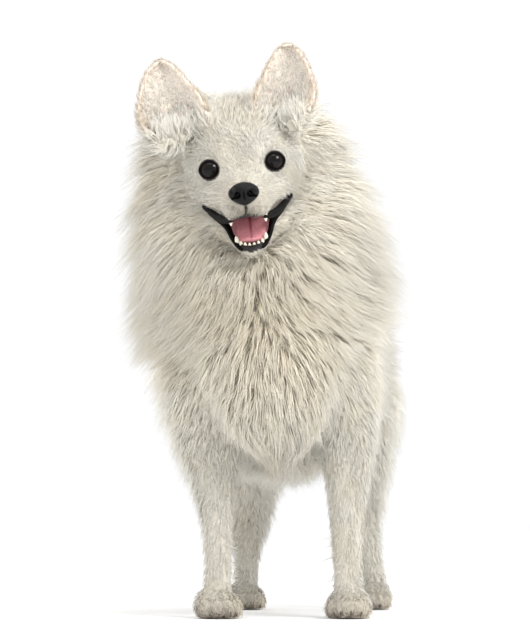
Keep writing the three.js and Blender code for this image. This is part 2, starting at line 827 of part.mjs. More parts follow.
const feathering = {
  rows: 4,
  count: [2, 2, 2],
  t: [0.2, 0.68],
  reach: [2.4, 2.6, 2.4],
  width: [14, 13, 10],
  lift: [40, 36],
  hang: [0.3],
};
const outerSide = { right: [60, 215], left: [-35, 120] };
const rearSide = { right: [70, 150], left: [30, 110] };

function laidLocks() {
  const places = {
    head: [...cheekPlaces(-1), ...cheekPlaces(1)],
    neck: lockPlaces(neckLimb, ruff),
    torso: lockPlaces(torsoLimb, flanks),
    tail_base: lockPlaces(tailBaseLimb, plume),
    tail_tip: lockPlaces(tailTipLimb, plume),
  };
  ["right", "left"].forEach((side) => {
    const [front, hind] = ["front_" + side, "hind_" + side];
    const frontPlan = { ...feathering, angles: rearSide[side] };
    places[front + "_leg"] = lockPlaces(frontLegOf[front], frontPlan);
    places[hind + "_leg"] = lockPlaces(hindLegOf[hind], { ...breeches, angles: outerSide[side] });
  });
  return places;
}

function coated(bare) {
  const made = { ...bare };
  Object.entries(laidLocks()).forEach(([name, places]) => {
    const others = Object.keys(made).filter((other) => other !== name);
    const locks = growLocks(places, others.map((other) => made[other]));
    made[name] = joined([made[name], ...locks]);
  });
  return made;
}

const coreOf = coated(cores());

const dog = new THREE.Group();
const headGroup = new THREE.Group();
headGroup.applyMatrix4(headPlace);
dog.add(headGroup);

const inHeadGroup = ["head", "nose", "eye_right", "eye_left", "jaw", "tongue", "ear_right", "ear_left"];
const materialNameOf = {
  nose: "leather",
  eye_right: "eye",
  eye_left: "eye",
  tongue: "tongue",
};

Object.entries(coreOf).forEach(([name, solid]) => {
  const geometry = geometryOf(largest(solid));
  const material = materialNameOf[name] ?? (name.endsWith("_paw") ? "paw" : "coat");
  const mesh = new THREE.Mesh(geometry, materialOf[material]);
  mesh.name = name;
  if (inHeadGroup.includes(name)) {
    geometry.applyMatrix4(headPlace.clone().invert());
    headGroup.add(mesh);
  } else {
    dog.add(mesh);
  }
});

// The origin is on the floor, under the middle of the whole animal.
const reach = new THREE.Box3().setFromObject(dog);
const middle = reach.getCenter(point(0, 0, 0));
dog.position.set(-middle.x, -middle.y, -reach.min.z);

export default dog;
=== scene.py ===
import math

import bpy
import numpy as np
from mathutils import Euler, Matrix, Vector, kdtree


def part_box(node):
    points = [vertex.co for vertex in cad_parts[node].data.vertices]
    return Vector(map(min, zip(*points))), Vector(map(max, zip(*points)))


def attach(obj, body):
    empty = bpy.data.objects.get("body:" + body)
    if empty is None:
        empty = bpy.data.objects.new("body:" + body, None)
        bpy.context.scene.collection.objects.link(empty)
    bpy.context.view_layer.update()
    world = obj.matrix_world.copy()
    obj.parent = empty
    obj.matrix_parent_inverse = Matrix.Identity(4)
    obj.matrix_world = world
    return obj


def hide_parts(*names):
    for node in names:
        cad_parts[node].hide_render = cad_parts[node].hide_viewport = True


# A cream pomeranian stands with its mouth open. Sizes are in millimetres in the dog's own place,
# level with the eyes' middle, and inFrame() turns them into metres where the solids stand.

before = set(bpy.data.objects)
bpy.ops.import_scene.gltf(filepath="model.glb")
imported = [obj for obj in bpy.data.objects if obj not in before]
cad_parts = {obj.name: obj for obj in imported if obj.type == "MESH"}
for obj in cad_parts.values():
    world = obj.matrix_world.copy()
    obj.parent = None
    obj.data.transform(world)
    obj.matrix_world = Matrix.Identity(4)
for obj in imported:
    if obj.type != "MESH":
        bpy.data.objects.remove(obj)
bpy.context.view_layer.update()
seed = 20
density = 1.0
farAway = 400.0                        # what stands for the distance of anything out of reach

head = {
    "at": (-26.5, -62, 315.5),
    "turn": (6, -7.5, -2),             # degrees: nod, roll, yaw
    "eyeSpacing": 43.5,
    "eyeLevel": -2.8,
    "eyeRadius": 9.0,
    # forward place, half width, top, widest level, bottom
    "sections": [
        (-46, 8, -18, -26, -33), (-42, 12.5, -13, -26, -36.5), (-34, 15.5, -10.5, -26, -38),
        (-24, 17.5, -9, -26, -38), (-15, 20.5, -6, -24, -36.5), (-8, 25, 4, -19, -35),
        (-1, 29.5, 17, -13, -34), (9, 33, 28, -8, -35), (22, 35, 34.5, -4, -36),
        (35, 33.5, 34, -2, -34), (47, 26, 26, -2, -27), (56, 12, 10, -2, -14),
    ],
    "jaw": [
        (0, 24, -39, 25, 9), (0, 12, -44.5, 21.5, 9), (0, 0, -50, 16, 8),
        (0, -11, -55, 12, 6.6), (0, -19, -59, 9, 5.2), (0, -23, -61, 6, 3.8),
    ],
    "nose": (0, -48, -20.5),
    "noseSizes": (10.6, 6.2, 7.9),
}

headTurn = np.array(Euler([math.radians(a) for a in head["turn"]], "XYZ").to_matrix())


def fromHead(points):
    return np.asarray(points, float) @ headTurn.T + head["at"]


def toHead(points):
    return (np.asarray(points, float) - head["at"]) @ headTurn


def boxMiddle(node):
    low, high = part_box(node)
    return (np.array(low) + np.array(high)) / 2


# the solids are moved as a whole, and the eyes tell by how much
eyesMiddle = (boxMiddle("eye_left") + boxMiddle("eye_right")) / 2 * 1000
shift = eyesMiddle - fromHead([[0, 0, head["eyeLevel"]]])[0]


def inFrame(points):
    return (np.asarray(points, float) + shift) / 1000


# Limbs: x, y, z, half width, half height, then the coat's depth at the sides, above and below.
# Above is a limb's nape or back, and a leg's rear.
limbs = {
    "neck": {"rows": [
        (-28, 2, 338, 20, 15, 84, 10, 6), (-26, -6, 318, 28, 24, 78, 22, 12),
        (-21, -9, 283, 35, 36, 68, 34, 24), (-15, -2, 248, 43, 46, 64, 38, 32),
        (-10, 4, 214, 46, 50, 57, 38, 32), (-7, 2, 178, 41, 46, 54, 34, 28)]},
    "torso": {"rows": [
        (-6, -12, 184, 36, 44, 36, 22, 34), (-5, 8, 184, 44, 51, 38, 24, 42),
        (-3, 45, 185, 49, 55, 38, 24, 50), (3, 95, 188, 47, 51, 38, 24, 52),
        (9, 145, 193, 41, 44, 38, 25, 44), (13, 183, 198, 38, 42, 36, 24, 30),
        (15, 206, 200, 29, 34, 32, 22, 22), (15, 222, 200, 15, 19, 26, 18, 20)]},
    "tail": {"rows": [
        (15, 208, 222, 11, 11, 14, 14, 14), (15, 226, 248, 10, 10, 26, 16, 22),
        (14, 220, 276, 8.5, 8.5, 36, 20, 34), (12, 194, 293, 7.5, 7.5, 38, 24, 40),
        (9, 156, 297, 6.5, 6.5, 38, 26, 42), (6, 120, 292, 5.5, 5.5, 34, 24, 38),
        (4, 96, 282, 4, 4, 26, 20, 30)]},
    "frontRight": {"rows": [
        (-40, -4, 168, 22, 26, 48, 14, 12), (-45, 8, 134, 16.5, 20, 31, 14, 8),
        (-44.5, 5, 100, 12.5, 14, 10, 13, 5), (-43.5, 2, 66, 9.4, 10.5, 4.5, 7, 4),
        (-43, 0, 34, 8.6, 9.2, 3.6, 5, 3.5), (-44, -3, 15, 9.6, 10, 3, 3, 3)],
        "inner": 1},
    "frontLeft": {"rows": [
        (35, -4, 168, 22, 26, 26, 14, 12), (44, 8, 134, 16.5, 20, 13, 14, 8),
        (46, 5, 100, 13, 14, 7, 13, 5), (46, 2, 66, 10, 10.5, 4.5, 7, 4),
        (47, 0, 34, 9, 9.2, 3.6, 5, 3.5), (47.5, -3, 15, 9.8, 10, 3, 3, 3)],
        "inner": -1},
    "hindRight": {"rows": [
        (-12, 176, 188, 24, 38, 48, 26, 16), (-19, 164, 150, 21, 31, 60, 28, 16),
        (-21, 182, 114, 13.5, 20, 68, 26, 8), (-21, 210, 76, 8.6, 11, 48, 18, 4),
        (-23, 212, 44, 7.4, 8.4, 6, 7, 4), (-25, 208, 16, 8.2, 8.6, 4, 4, 4)],
        "inner": 1},
    "hindLeft": {"rows": [
        (38, 176, 188, 24, 38, 28, 26, 16), (51, 164, 150, 21, 31, 29, 28, 16),
        (58, 182, 114, 13.5, 20, 22, 26, 8), (62, 210, 76, 8.6, 11, 11, 18, 4),
        (66, 212, 44, 7.4, 8.4, 6, 7, 4), (70, 208, 16, 8.2, 8.6, 4, 4, 4)],
        "inner": -1},
}

paws = {   # ankle x and y, turn in degrees, size
    "frontRight": (-44.5, -8, 16, 1.0),
    "frontLeft": (48, -8, -5, 1.0),
    "hindRight": (-25, 203, 8, 0.9),
    "hindLeft": (70, 203, -14, 0.9),
}

owners = ["neck", "torso", "tail", "frontRight", "frontLeft", "hindRight", "hindLeft", "head",
          "ears", "paws"]


def smoothRows(rows, steps=3):
    # the rows of a table with a smooth curve drawn through them
    rows = np.array(rows, float)
    padded = np.vstack([2 * rows[0] - rows[1], rows, 2 * rows[-1] - rows[-2]])
    made = []
    for k in range(len(rows) - 1):
        a, b, c, d = padded[k:k + 4]
        for s in np.arange(steps) / steps:
            made.append(b + 0.5 * s * (c - a + s * (2 * a - 5 * b + 4 * c - d
                                                   + s * (3 * (b - c) + d - a))))
    made.append(rows[-1])
    return np.array(made)


for limb in limbs.values():
    limb["fine"] = smoothRows(limb["rows"])
jawRows = smoothRows(head["jaw"])
headRows = smoothRows(head["sections"])


def softMin(a, b, soft):
    h = np.clip(0.5 + 0.5 * (b - a) / soft, 0, 1)
    return b + (a - b) * h - soft * h * (1 - h)


def lengths(v):
    return np.sqrt((v * v).sum(-1))


def unit(v):
    return v / np.maximum(lengths(v), 1e-9)[..., None]


def readSegment(a, b, points):
    # how far points are from one tapered stretch of a limb, and where on it they are
    way = b[:3] - a[:3]
    length = np.linalg.norm(way)
    along = way / length
    side = unit(np.array([1.0, 0, 0]) - along[0] * along)
    up = np.cross(side, along)
    offset = points - a[:3]
    t = np.clip(offset @ along / length, 0, 1)
    offset = offset - t[:, None] * way
    wide = a[3] + t * (b[3] - a[3])
    high = a[4] + t * (b[4] - a[4])
    across, above, beyond = offset @ side, offset @ up, offset @ along
    share = np.sqrt((across / wide) ** 2 + (above / high) ** 2 + (beyond / np.minimum(wide, high)) ** 2)
    share = np.maximum(share, 0.02)
    return lengths(offset) * (1 - 1 / share), t, np.arctan2(above / high, across / wide), along


def rowsDistance(rows, points):
    return np.min([readSegment(a, b, points)[0] for a, b in zip(rows, rows[1:])], axis=0)


def ballDistance(points, at, sizes, turn=(0, 0, 0)):
    rotation = np.array(Euler([math.radians(a) for a in turn], "XYZ").to_matrix())
    offset = (points - np.array(at, float)) @ rotation
    share = np.maximum(lengths(offset / np.array(sizes, float)), 0.02)
    return lengths(offset) * (1 - 1 / share)


def skullDistance(points):
    # in the head's own place: rounder above its widest level than below it
    x, y, z = points.T
    place = headRows[:, 0]
    near = np.clip(y, place[0], place[-1])
    wide, top, level, bottom = (np.interp(near, place, headRows[:, c]) for c in (1, 2, 3, 4))
    above = z > level
    reach = np.where(above, top - level, level - bottom)
    power = np.where(above, 2.2, 2.7)
    beyond = (y - near) / np.where(y < near, 3.0, 6.0)
    share = np.sqrt(((z - level) / reach) ** 2 + (np.abs(x) / wide) ** power + beyond ** 2)
    share = np.maximum(share, 0.05)
    radius = np.sqrt(x * x + (z - level) ** 2 + (y - near) ** 2)
    return radius * (1 - 1 / share)


def blend(a, b, share):
    return a + (b - a) * share


cubeCorners = [(i, j, k) for i in (0, 1) for j in (0, 1) for k in (0, 1)]
cubeEdges = [(a, b) for a in cubeCorners for b in cubeCorners
             if sum(b) == sum(a) + 1 and all(y >= x for x, y in zip(a, b))]


class Field:
    # distances to a shape, kept on the crossings of a grid whose lines may be uneven
    def __init__(self, lines):
        self.lines = [np.asarray(line, float) for line in lines]
        self.values = np.full([len(line) for line in self.lines], farAway)

    def window(self, low, high):
        return tuple(slice(max(np.searchsorted(line, a) - 1, 0), np.searchsorted(line, b) + 1)
                     for line, a, b in zip(self.lines, low, high))

    def points(self, window):
        mesh = np.meshgrid(*[line[w] for line, w in zip(self.lines, window)], indexing="ij")
        return np.stack([m.ravel() for m in mesh], 1)

    def join(self, low, high, distance, soft, cut=False):
        window = self.window(low, high)
        found = distance(self.points(window)).reshape(self.values[window].shape)
        if cut:
            self.values[window] = -softMin(-self.values[window], found, soft)
        else:
            self.values[window] = softMin(self.values[window], found, soft)

    def joinRows(self, rows, reach, soft):
        whole = self.window(rows[:, :3].min(0) - rows[:, 3:5].max() - reach,
                            rows[:, :3].max(0) + rows[:, 3:5].max() + reach)
        own = np.full(self.values[whole].shape, farAway)
        start = np.array([w.start for w in whole])
        for a, b in zip(rows, rows[1:]):
            far = max(a[3:5].max(), b[3:5].max()) + reach
            part = self.window(np.minimum(a[:3], b[:3]) - far, np.maximum(a[:3], b[:3]) + far)
            inner = tuple(slice(w.start - s, w.stop - s) for w, s in zip(part, start))
            found = readSegment(a, b, self.points(part))[0]
            own[inner] = np.minimum(own[inner], found.reshape(own[inner].shape))
        self.values[whole] = softMin(self.values[whole], own, soft)

    def read(self, points, slope=False):
        # the distance at each place and, when asked, the way in which it grows
        cell = [np.clip(np.searchsorted(line, at) - 1, 0, len(line) - 2)
                for line, at in zip(self.lines, points.T)]
        steps = [line[k + 1] - line[k] for line, k in zip(self.lines, cell)]
        fx, fy, fz = (np.clip((at - line[k]) / step, 0, 1)
                      for line, at, k, step in zip(self.lines, points.T, cell, steps))
        corner = {at: self.values[tuple(k + a for k, a in zip(cell, at))] for at in cubeCorners}
        xy = {(j, k): blend(corner[0, j, k], corner[1, j, k], fx) for j in (0, 1) for k in (0, 1)}
        z0, z1 = (blend(xy[0, k], xy[1, k], fy) for k in (0, 1))
        value = blend(z0, z1, fz)
        if not slope:
            return value
        dx = [blend(corner[1, 0, k] - corner[0, 0, k], corner[1, 1, k] - corner[0, 1, k], fy)
              for k in (0, 1)]
        dy = [xy[1, k] - xy[0, k] for k in (0, 1)]
        rises = (blend(*dx, fz), blend(*dy, fz), z1 - z0)
        return value, unit(np.stack([rise / step for rise, step in zip(rises, steps)], 1))


def netSurface(field, smoothing=2):
    # a closed mesh of four-sided faces where the field is zero
    inside = field.values < 0
    count = np.zeros([n - 1 for n in inside.shape], np.int8)
    for corner in cubeCorners:
        count += inside[tuple(slice(c, c + n - 1) for c, n in zip(corner, inside.shape))]
    cells = np.argwhere((count > 0) & (count < 8))
    ids = np.full(count.shape, -1)
    ids[tuple(cells.T)] = np.arange(len(cells))
    total = np.zeros((len(cells), 3))
    crossings = np.zeros(len(cells))
    coordinate = lambda at: np.stack([line[at[:, k]] for k, line in enumerate(field.lines)], 1)
    for a, b in cubeEdges:
        one, two = cells + a, cells + b
        va, vb = field.values[tuple(one.T)], field.values[tuple(two.T)]
        crossed = (va < 0) != (vb < 0)
        t = np.where(crossed, va / np.where(crossed, va - vb, 1), 0)
        pa, pb = coordinate(one), coordinate(two)
        total += crossed[:, None] * (pa + t[:, None] * (pb - pa))
        crossings += crossed
    points = total / crossings[:, None]
    faces = []
    for axis in range(3):
        b, c = (axis + 1) % 3, (axis + 2) % 3
        here = [slice(1, -1)] * 3
        here[axis] = slice(0, -1)
        there = list(here)
        there[axis] = slice(1, None)
        first, second = inside[tuple(here)], inside[tuple(there)]
        at = np.argwhere(first != second) + np.array([0 if k == axis else 1 for k in range(3)])
        outward = inside[tuple(at.T)]
        around = []
        for db, dc in ((-1, -1), (0, -1), (0, 0), (-1, 0)):
            cell = at.copy()
            cell[:, b] += db
            cell[:, c] += dc
            around.append(ids[tuple(cell.T)])
        quad = np.stack(around, 1)
        quad[~outward] = quad[~outward][:, ::-1]
        faces.append(quad)
    faces = np.concatenate(faces)
    for _ in range(smoothing):
        points = relaxed(points, faces)
        value, slope = field.read(points, slope=True)
        points = points - slope * np.clip(value, -1.5, 1.5)[:, None]
    return points, faces


def relaxed(values, faces, share=0.6):
    # each corner's values drawn towards the middle of its neighbours'
    one = np.concatenate([faces.ravel(), np.roll(faces, -1, 1).ravel()])
    two = np.concatenate([np.roll(faces, -1, 1).ravel(), faces.ravel()])
    count = np.maximum(np.bincount(one, minlength=len(values)), 1)
    middle = np.stack([np.bincount(one, values[two, k], len(values)) / count
                       for k in range(values.shape[1])], 1)
    return values + share * (middle - values)


def linear(red, green, blue):
    # a colour, from 0 to 255, as Blender's linear values
    c = np.stack([red, green, blue], -1) / 255
    return np.where(c < 0.04045, c / 12.92, ((c + 0.055) / 1.055) ** 2.4)


def makePiece(name, points, faces, finish, colours=None, patches=None, replaced=()):
    mesh = bpy.data.meshes.new(name)
    mesh.vertices.add(len(points))
    mesh.vertices.foreach_set("co", inFrame(points).astype(np.float32).ravel())
    mesh.loops.add(faces.size)
    mesh.loops.foreach_set("vertex_index", faces.astype(np.int32).ravel())
    mesh.polygons.add(len(faces))
    starts = np.arange(len(faces), dtype=np.int32) * faces.shape[1]
    mesh.polygons.foreach_set("loop_start", starts)
    mesh.update(calc_edges=True)
    mesh.shade_smooth()
    if colours is not None:
        layer = mesh.attributes.new("coatTint", "FLOAT_COLOR", "POINT")
        rows = np.concatenate([colours, np.ones((len(colours), 1))], 1)
        layer.data.foreach_set("color", rows.astype(np.float32).ravel())
    if patches is not None:
        uv = mesh.uv_layers.new(name="OFBake")
        uv.data.foreach_set("uv", patches[faces.ravel()].astype(np.float32).ravel())
    mesh.materials.append(finish)
    piece = bpy.data.objects.new(name, mesh)
    bpy.context.scene.collection.objects.link(piece)
    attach(piece, "root")
    if replaced:
        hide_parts(*replaced)


# Materials

def newFinish(name, roughness, **constants):
    finish = bpy.data.materials.new(name)
    finish.use_nodes = True
    shader = finish.node_tree.nodes["Principled BSDF"]
    shader.inputs["Roughness"].default_value = roughness
    for socket, value in constants.items():
        shader.inputs[socket].default_value = value
    return finish, finish.node_tree, shader


def addNoise(tree, scale, detail=4, stretch=None):
    noise = tree.nodes.new("ShaderNodeTexNoise")
    noise.inputs["Scale"].default_value = scale
    noise.inputs["Detail"].default_value = detail
    place = tree.nodes.new("ShaderNodeTexCoord")
    if stretch:
        mapping = tree.nodes.new("ShaderNodeMapping")
        mapping.inputs["Scale"].default_value = stretch
        tree.links.new(place.outputs["Object"], mapping.inputs["Vector"])
        tree.links.new(mapping.outputs["Vector"], noise.inputs["Vector"])
    else:
        tree.links.new(place.outputs["Object"], noise.inputs["Vector"])
    return noise


def addBump(tree, shader, height, strength, distance):
    bump = tree.nodes.new("ShaderNodeBump")
    bump.inputs["Strength"].default_value = strength
    bump.inputs["Distance"].default_value = distance
    tree.links.new(height, bump.inputs["Height"])
    tree.links.new(bump.outputs["Normal"], shader.inputs["Normal"])


def mixColours(tree, shader, first, second, factor):
    mix = tree.nodes.new("ShaderNodeMix")
    mix.data_type = "RGBA"
    for socket, colour in (("A", first), ("B", second)):
        target = next(s for s in mix.inputs if s.name == socket and s.type == "RGBA")
        if isinstance(colour, bpy.types.NodeSocket):
            tree.links.new(colour, target)
        else:
            target.default_value = (*colour, 1)
    tree.links.new(factor, mix.inputs[0])
    made = next(s for s in mix.outputs if s.type == "RGBA")
    tree.links.new(made, shader.inputs["Base Color"])


def ramp(tree, value, low, high):
    spread = tree.nodes.new("ShaderNodeMapRange")
    spread.inputs["From Min"].default_value = low
    spread.inputs["From Max"].default_value = high
    tree.links.new(value, spread.inputs["Value"])
    return spread.outputs["Result"]


def mottled(name, roughness, grain, first, second, spread, bump=None, **constants):
    # two tones mixed by noise, or, with no first tone, the mesh's own tint and a second one
    finish, tree, shader = newFinish(name, roughness, **constants)
    if first is None:
        tint = tree.nodes.new("ShaderNodeAttribute")
        tint.attribute_name = "coatTint"
        first = tint.outputs["Color"]
    noise = addNoise(tree, *grain)
    mixColours(tree, shader, first, second, ramp(tree, noise.outputs["Fac"], *spread))
    if bump:
        addBump(tree, shader, noise.outputs["Fac"], *bump)
    return finish


def wetFinish(name, dark, light, scale, roughness, coat, bend):
    # moist bare skin under a thin film
    film = {"IOR": bend, "Coat Weight": coat, "Coat Roughness": 0.15, "Coat IOR": 1.25}
    return mottled(name, roughness, (scale,), dark, light, (0.35, 0.7), (0.6, 0.0003), **film)


def hornFinish(name, light, dark, scale):
    return mottled(name, 0.32, (scale, 3, (1, 1, 0.3)), light, dark, (0.4, 0.8), (0.15, 0.0002))


def noseFinish():
    # small domes, as on a dog's nose leather, with painted shade darker in the cracks between them
    finish, tree, shader = newFinish("NoseLeather", 0.42, IOR=1.28)
    cells = tree.nodes.new("ShaderNodeTexVoronoi")
    cells.inputs["Scale"].default_value = 900
    place = tree.nodes.new("ShaderNodeTexCoord")
    tree.links.new(place.outputs["Object"], cells.inputs["Vector"])
    # painted shade: darker in the cracks between the domes
    mixColours(tree, shader, linear(16, 14, 15), linear(4, 3, 4),
               ramp(tree, cells.outputs["Distance"], 0.1, 0.7))
    turned = tree.nodes.new("ShaderNodeMath")
    turned.operation = "SUBTRACT"
    turned.inputs[0].default_value = 1
    tree.links.new(cells.outputs["Distance"], turned.inputs[1])
    addBump(tree, shader, turned.outputs["Value"], 0.5, 0.0004)
    return finish


coatLook = mottled("CreamHair", 0.62, (60, 3), None, linear(240, 235, 222), (0.55, 1.2))
skinLook = mottled("FurredSkin", 0.7, (900, 2, (1, 1, 0.35)), None, linear(186, 172, 150), (0.62, 1.6),
                   (0.5, 0.0006))
noseLook = noseFinish()
eyeLook = mottled("DarkEye", 0.06, (700, 3), None, linear(14, 9, 7), (0.45, 1.3), IOR=1.3)
lipLook = wetFinish("LipSkin", linear(5, 4, 4), linear(15, 12, 12), 500, 0.45, 0.05, 1.16)
tongueLook = wetFinish("TongueSkin", linear(226, 140, 150), linear(240, 170, 176), 900, 0.4, 0.4, 1.33)
toothLook = hornFinish("Tooth", linear(240, 234, 216), linear(222, 208, 176), 300)
clawLook = hornFinish("Claw", linear(70, 60, 52), linear(140, 122, 102), 400)
whiskerLook = hornFinish("Whisker", linear(244, 240, 232), linear(214, 206, 196), 300)

# The skin: limbs, head, ears and paws grown together, with the mouth and the eyes' hollows cut in.

earShape = {
    # x, y, z and half width, from the base to the tip
    "rows": [(26, 15, 22, 15), (33, 14, 34, 19), (37, 13, 46, 18.5), (39.5, 11.5, 55, 15.5),
             (41, 10.5, 64, 11.5), (41.8, 10, 71, 6.8), (42, 10, 75, 1.5)],
    "cup": 9,
    "wider": 3,                        # the dog's right ear is turned outwards
    "further": 9,
    "halfThickness": 1.3,
    "across": 26,                      # how many points the sheet is read at
    "up": 46,
}
earRows = smoothRows(earShape["rows"], 8)


def earSheet(side, u, v):
    # a point of the ear's middle sheet, u across from -1 to 1 and v from its base to its tip
    place = np.linspace(0, 1, len(earRows))
    x, y, z, half = (np.interp(v, place, earRows[:, k]) for k in range(4))
    if side < 0:
        half = half + earShape["wider"] * (1 - v)
        x = x + earShape["further"] * (1 - 0.4 * v)
    cup = earShape["cup"] * (1 - 0.55 * v) * (u * u - 0.35)
    return np.stack([side * (x + half * u), y - cup - 0.18 * half * u, z - 0.16 * half * u], 1)


def earSamples(side):
    u, v = np.meshgrid(np.linspace(-1, 1, earShape["across"]), np.linspace(0, 1, earShape["up"]))
    return earSheet(side, u.ravel(), v.ravel())


def nearest(points, targets, reach=12, chunk=4000):
    # distance to and index of the nearest target, for the points that are within reach of them
    far, index = np.full(len(points), farAway), np.zeros(len(points), int)
    close = ((points > targets.min(0) - reach) & (points < targets.max(0) + reach)).all(1)
    close = np.flatnonzero(close)
    for k in range(0, len(close), chunk):
        which = close[k:k + chunk]
        part = points[which]
        square = (part ** 2).sum(1)[:, None] - 2 * part @ targets.T + (targets ** 2).sum(1)
        best = square.argmin(1)
        index[which] = best
        far[which] = np.sqrt(np.maximum(square[np.arange(len(part)), best], 0))
    return far, index


def earDistance(side):
    samples = fromHead(earSamples(side))
    return samples.min(0), samples.max(0), lambda p: nearest(p, samples, 40)[0] - earShape["halfThickness"]


toePlaces = [(-9.6, -8.5), (-3.7, -13.5), (3.7, -13.5), (9.6, -8.5)]


def pawPoint(name, x, y):
    # a place on a paw, which has its own turn and size
    ankleX, ankleY, turn, size = paws[name]
    angle = math.radians(turn)
    return (ankleX + size * (x * math.cos(angle) - y * math.sin(angle)),
            ankleY + size * (x * math.sin(angle) + y * math.cos(angle)))


def pawBalls(name):
    # the low body of a paw, then its toes
    turn, size = paws[name][2:]
    shapes = [((0, 2, 9.5), (13.5, 16, 11))] + [((x, y, 6.6), (4.9, 8.3, 6.6)) for x, y in toePlaces]
    for (x, y, z), sizes in shapes:
        yield np.array([*pawPoint(name, x, y), z * size]), np.array(sizes) * size, turn


def addBody(field, reach, soft):
    for limb in limbs.values():
        field.joinRows(limb["fine"], reach, soft)
    corners = fromHead([(x, y, z) for x in (-38, 38) for y in (-52, 64) for z in (-66, 38)])
    field.join(corners.min(0) - reach, corners.max(0) + reach,
               lambda p: skullDistance(toHead(p)), soft)
    field.join(corners.min(0) - reach, corners.max(0) + reach,
               lambda p: rowsDistance(jawRows, toHead(p)), 5)
    for side in (-1, 1):
        low, high, distance = earDistance(side)
        field.join(low - min(reach, 30), high + min(reach, 30), distance, 3)
    for name in paws:
        for at, sizes, turn in pawBalls(name):
            field.join(at - sizes - reach, at + sizes + reach,
                       lambda p: ballDistance(p, at, sizes, (0, 0, turn)), 2.5)


eyePlaces = {side: np.array([side * head["eyeSpacing"] / 2, 0, head["eyeLevel"]]) for side in (-1, 1)}
eyeYaw = 7           # degrees that each eye looks outwards
socketReach = 9.5    # how far in front of the eye's middle its hollow is cut


def sightLine(side):
    yaw = math.radians(side * eyeYaw)
    return np.array([math.sin(yaw), -math.cos(yaw), 0])


def eyeRadial(local, side):
    # how far a place in front of an eye is from its line of sight
    sight = sightLine(side)
    offset = local - eyePlaces[side]
    ahead = offset @ sight
    radial = lengths(offset - ahead[:, None] * sight)
    return np.where((ahead > -2) & (ahead < 30), radial, farAway)


mouthHollows = [((0, -14, -40.5), (12, 27, 8.5), 0), ((0, 6, -41), (17, 20, 9), 0),
                ((0, -3, -46.5), (11.4, 23, 6.2), 26)]


def addFeatures(field):
    # low brows, whisker pads and the flesh of the lids, then the hollows
    lumps = [((12, -2, 6), (8, 8, 7), 8), ((8, -37, -30), (6.5, 8, 6.5), 5),
             ((head["eyeSpacing"] / 2, 0, head["eyeLevel"]), (10, 10, 10), 4)]
    for (x, y, z), sizes, soft in lumps:
        for side in (-1, 1):
            at = fromHead([(side * x, y, z)])[0]
            field.join(at - 30, at + 30, lambda p: ballDistance(toHead(p), (side * x, y, z), sizes), soft)
    for place, sizes, turn in mouthHollows + [((0, -52, -33), (1.0, 9, 6), 0)]:
        at = fromHead([place])[0]
        field.join(at - 45, at + 45,
                   lambda p: ballDistance(toHead(p), place, sizes, (turn, 0, 0)), 1.5, cut=True)
    for side in (-1, 1):
        place = eyePlaces[side] + sightLine(side) * socketReach
        at = fromHead([place])[0]
        field.join(at - 20, at + 20, lambda p: ballDistance(
            toHead(p), place, (6.7, 8, 6.3), (0, 0, side * eyeYaw)), 1, cut=True)


def gridLines(low, high, coarse, fineLow=None, fineHigh=None, fine=None):
    if fine is None:
        return np.arange(low, high + coarse, coarse)
    below = np.arange(low, fineLow, coarse)
    middle = np.arange(fineLow, fineHigh, fine)
    above = np.arange(fineHigh, high + coarse, coarse)
    return np.concatenate([below, middle, above])


def makeSkin():
    field = Field([gridLines(-108, 100, 3.2, -98, 38, 1.25), gridLines(-130, 262, 3.4, -122, 0, 1.25),
                   gridLines(-6, 398, 3.4, 240, 392, 1.25)])
    addBody(field, 12, 9)
    addFeatures(field)
    # flat soles, just over the ground
    window = field.window((-80, -130, -6), (100, 262, 6))
    below = 0.4 - field.points(window)[:, 2].reshape(field.values[window].shape)
    field.values[window] = np.maximum(field.values[window], below)
    return field, *netSurface(field)


coatField = Field([gridLines(-150, 170, 4), gridLines(-190, 330, 4), gridLines(-8, 440, 4)])
addBody(coatField, 70, 14)
skinField, skinPoints, skinFaces = makeSkin()
print("skin", len(skinPoints), "points", skinPoints.min(0).round(), skinPoints.max(0).round())


def unwrapped(index, across, up):
    # each part's own square of the unwrap, four to a row
    return np.stack([(index % 4 + 0.04 + 0.92 * across) / 4, (index // 4 + 0.04 + 0.92 * up) / 4], 1)


def claim(body, which, distance, name, depth, lie, place):
    # the points of these numbers belong to the named part from now on
    found = {"distance": distance, "owner": owners.index(name), "depth": depth, "lie": lie,
             "place": place}
    for key, value in found.items():
        body[key][which] = value


def readLimbs(body, points):
    for index, (name, limb) in enumerate(limbs.items()):
        rows = limb["fine"]
        total = len(rows) - 1
        for k in range(total):
            reach = max(rows[k][3:5].max(), rows[k + 1][3:5].max()) + 14
            low = np.minimum(rows[k][:3], rows[k + 1][:3]) - reach
            high = np.maximum(rows[k][:3], rows[k + 1][:3]) + reach
            close = np.flatnonzero(((points > low) & (points < high)).all(1))
            distance, t, angle, along = readSegment(rows[k], rows[k + 1], points[close])
            sizes = rows[k] + t[:, None] * (rows[k + 1] - rows[k])
            sideways, sine = sizes[:, 5], np.sin(angle)
            if "inner" in limb:
                sideways = sideways * np.where(np.cos(angle) * limb["inner"] > 0, 0.35, 1)
            depth = sideways + (np.where(sine > 0, sizes[:, 6], sizes[:, 7]) - sideways) * np.abs(sine)
            place = unwrapped(index, angle / (2 * np.pi) + 0.5, (k + t) / total)
            nearer = distance < body["distance"][close]
            claim(body, close[nearer], distance[nearer], name, depth[nearer], along, place[nearer])


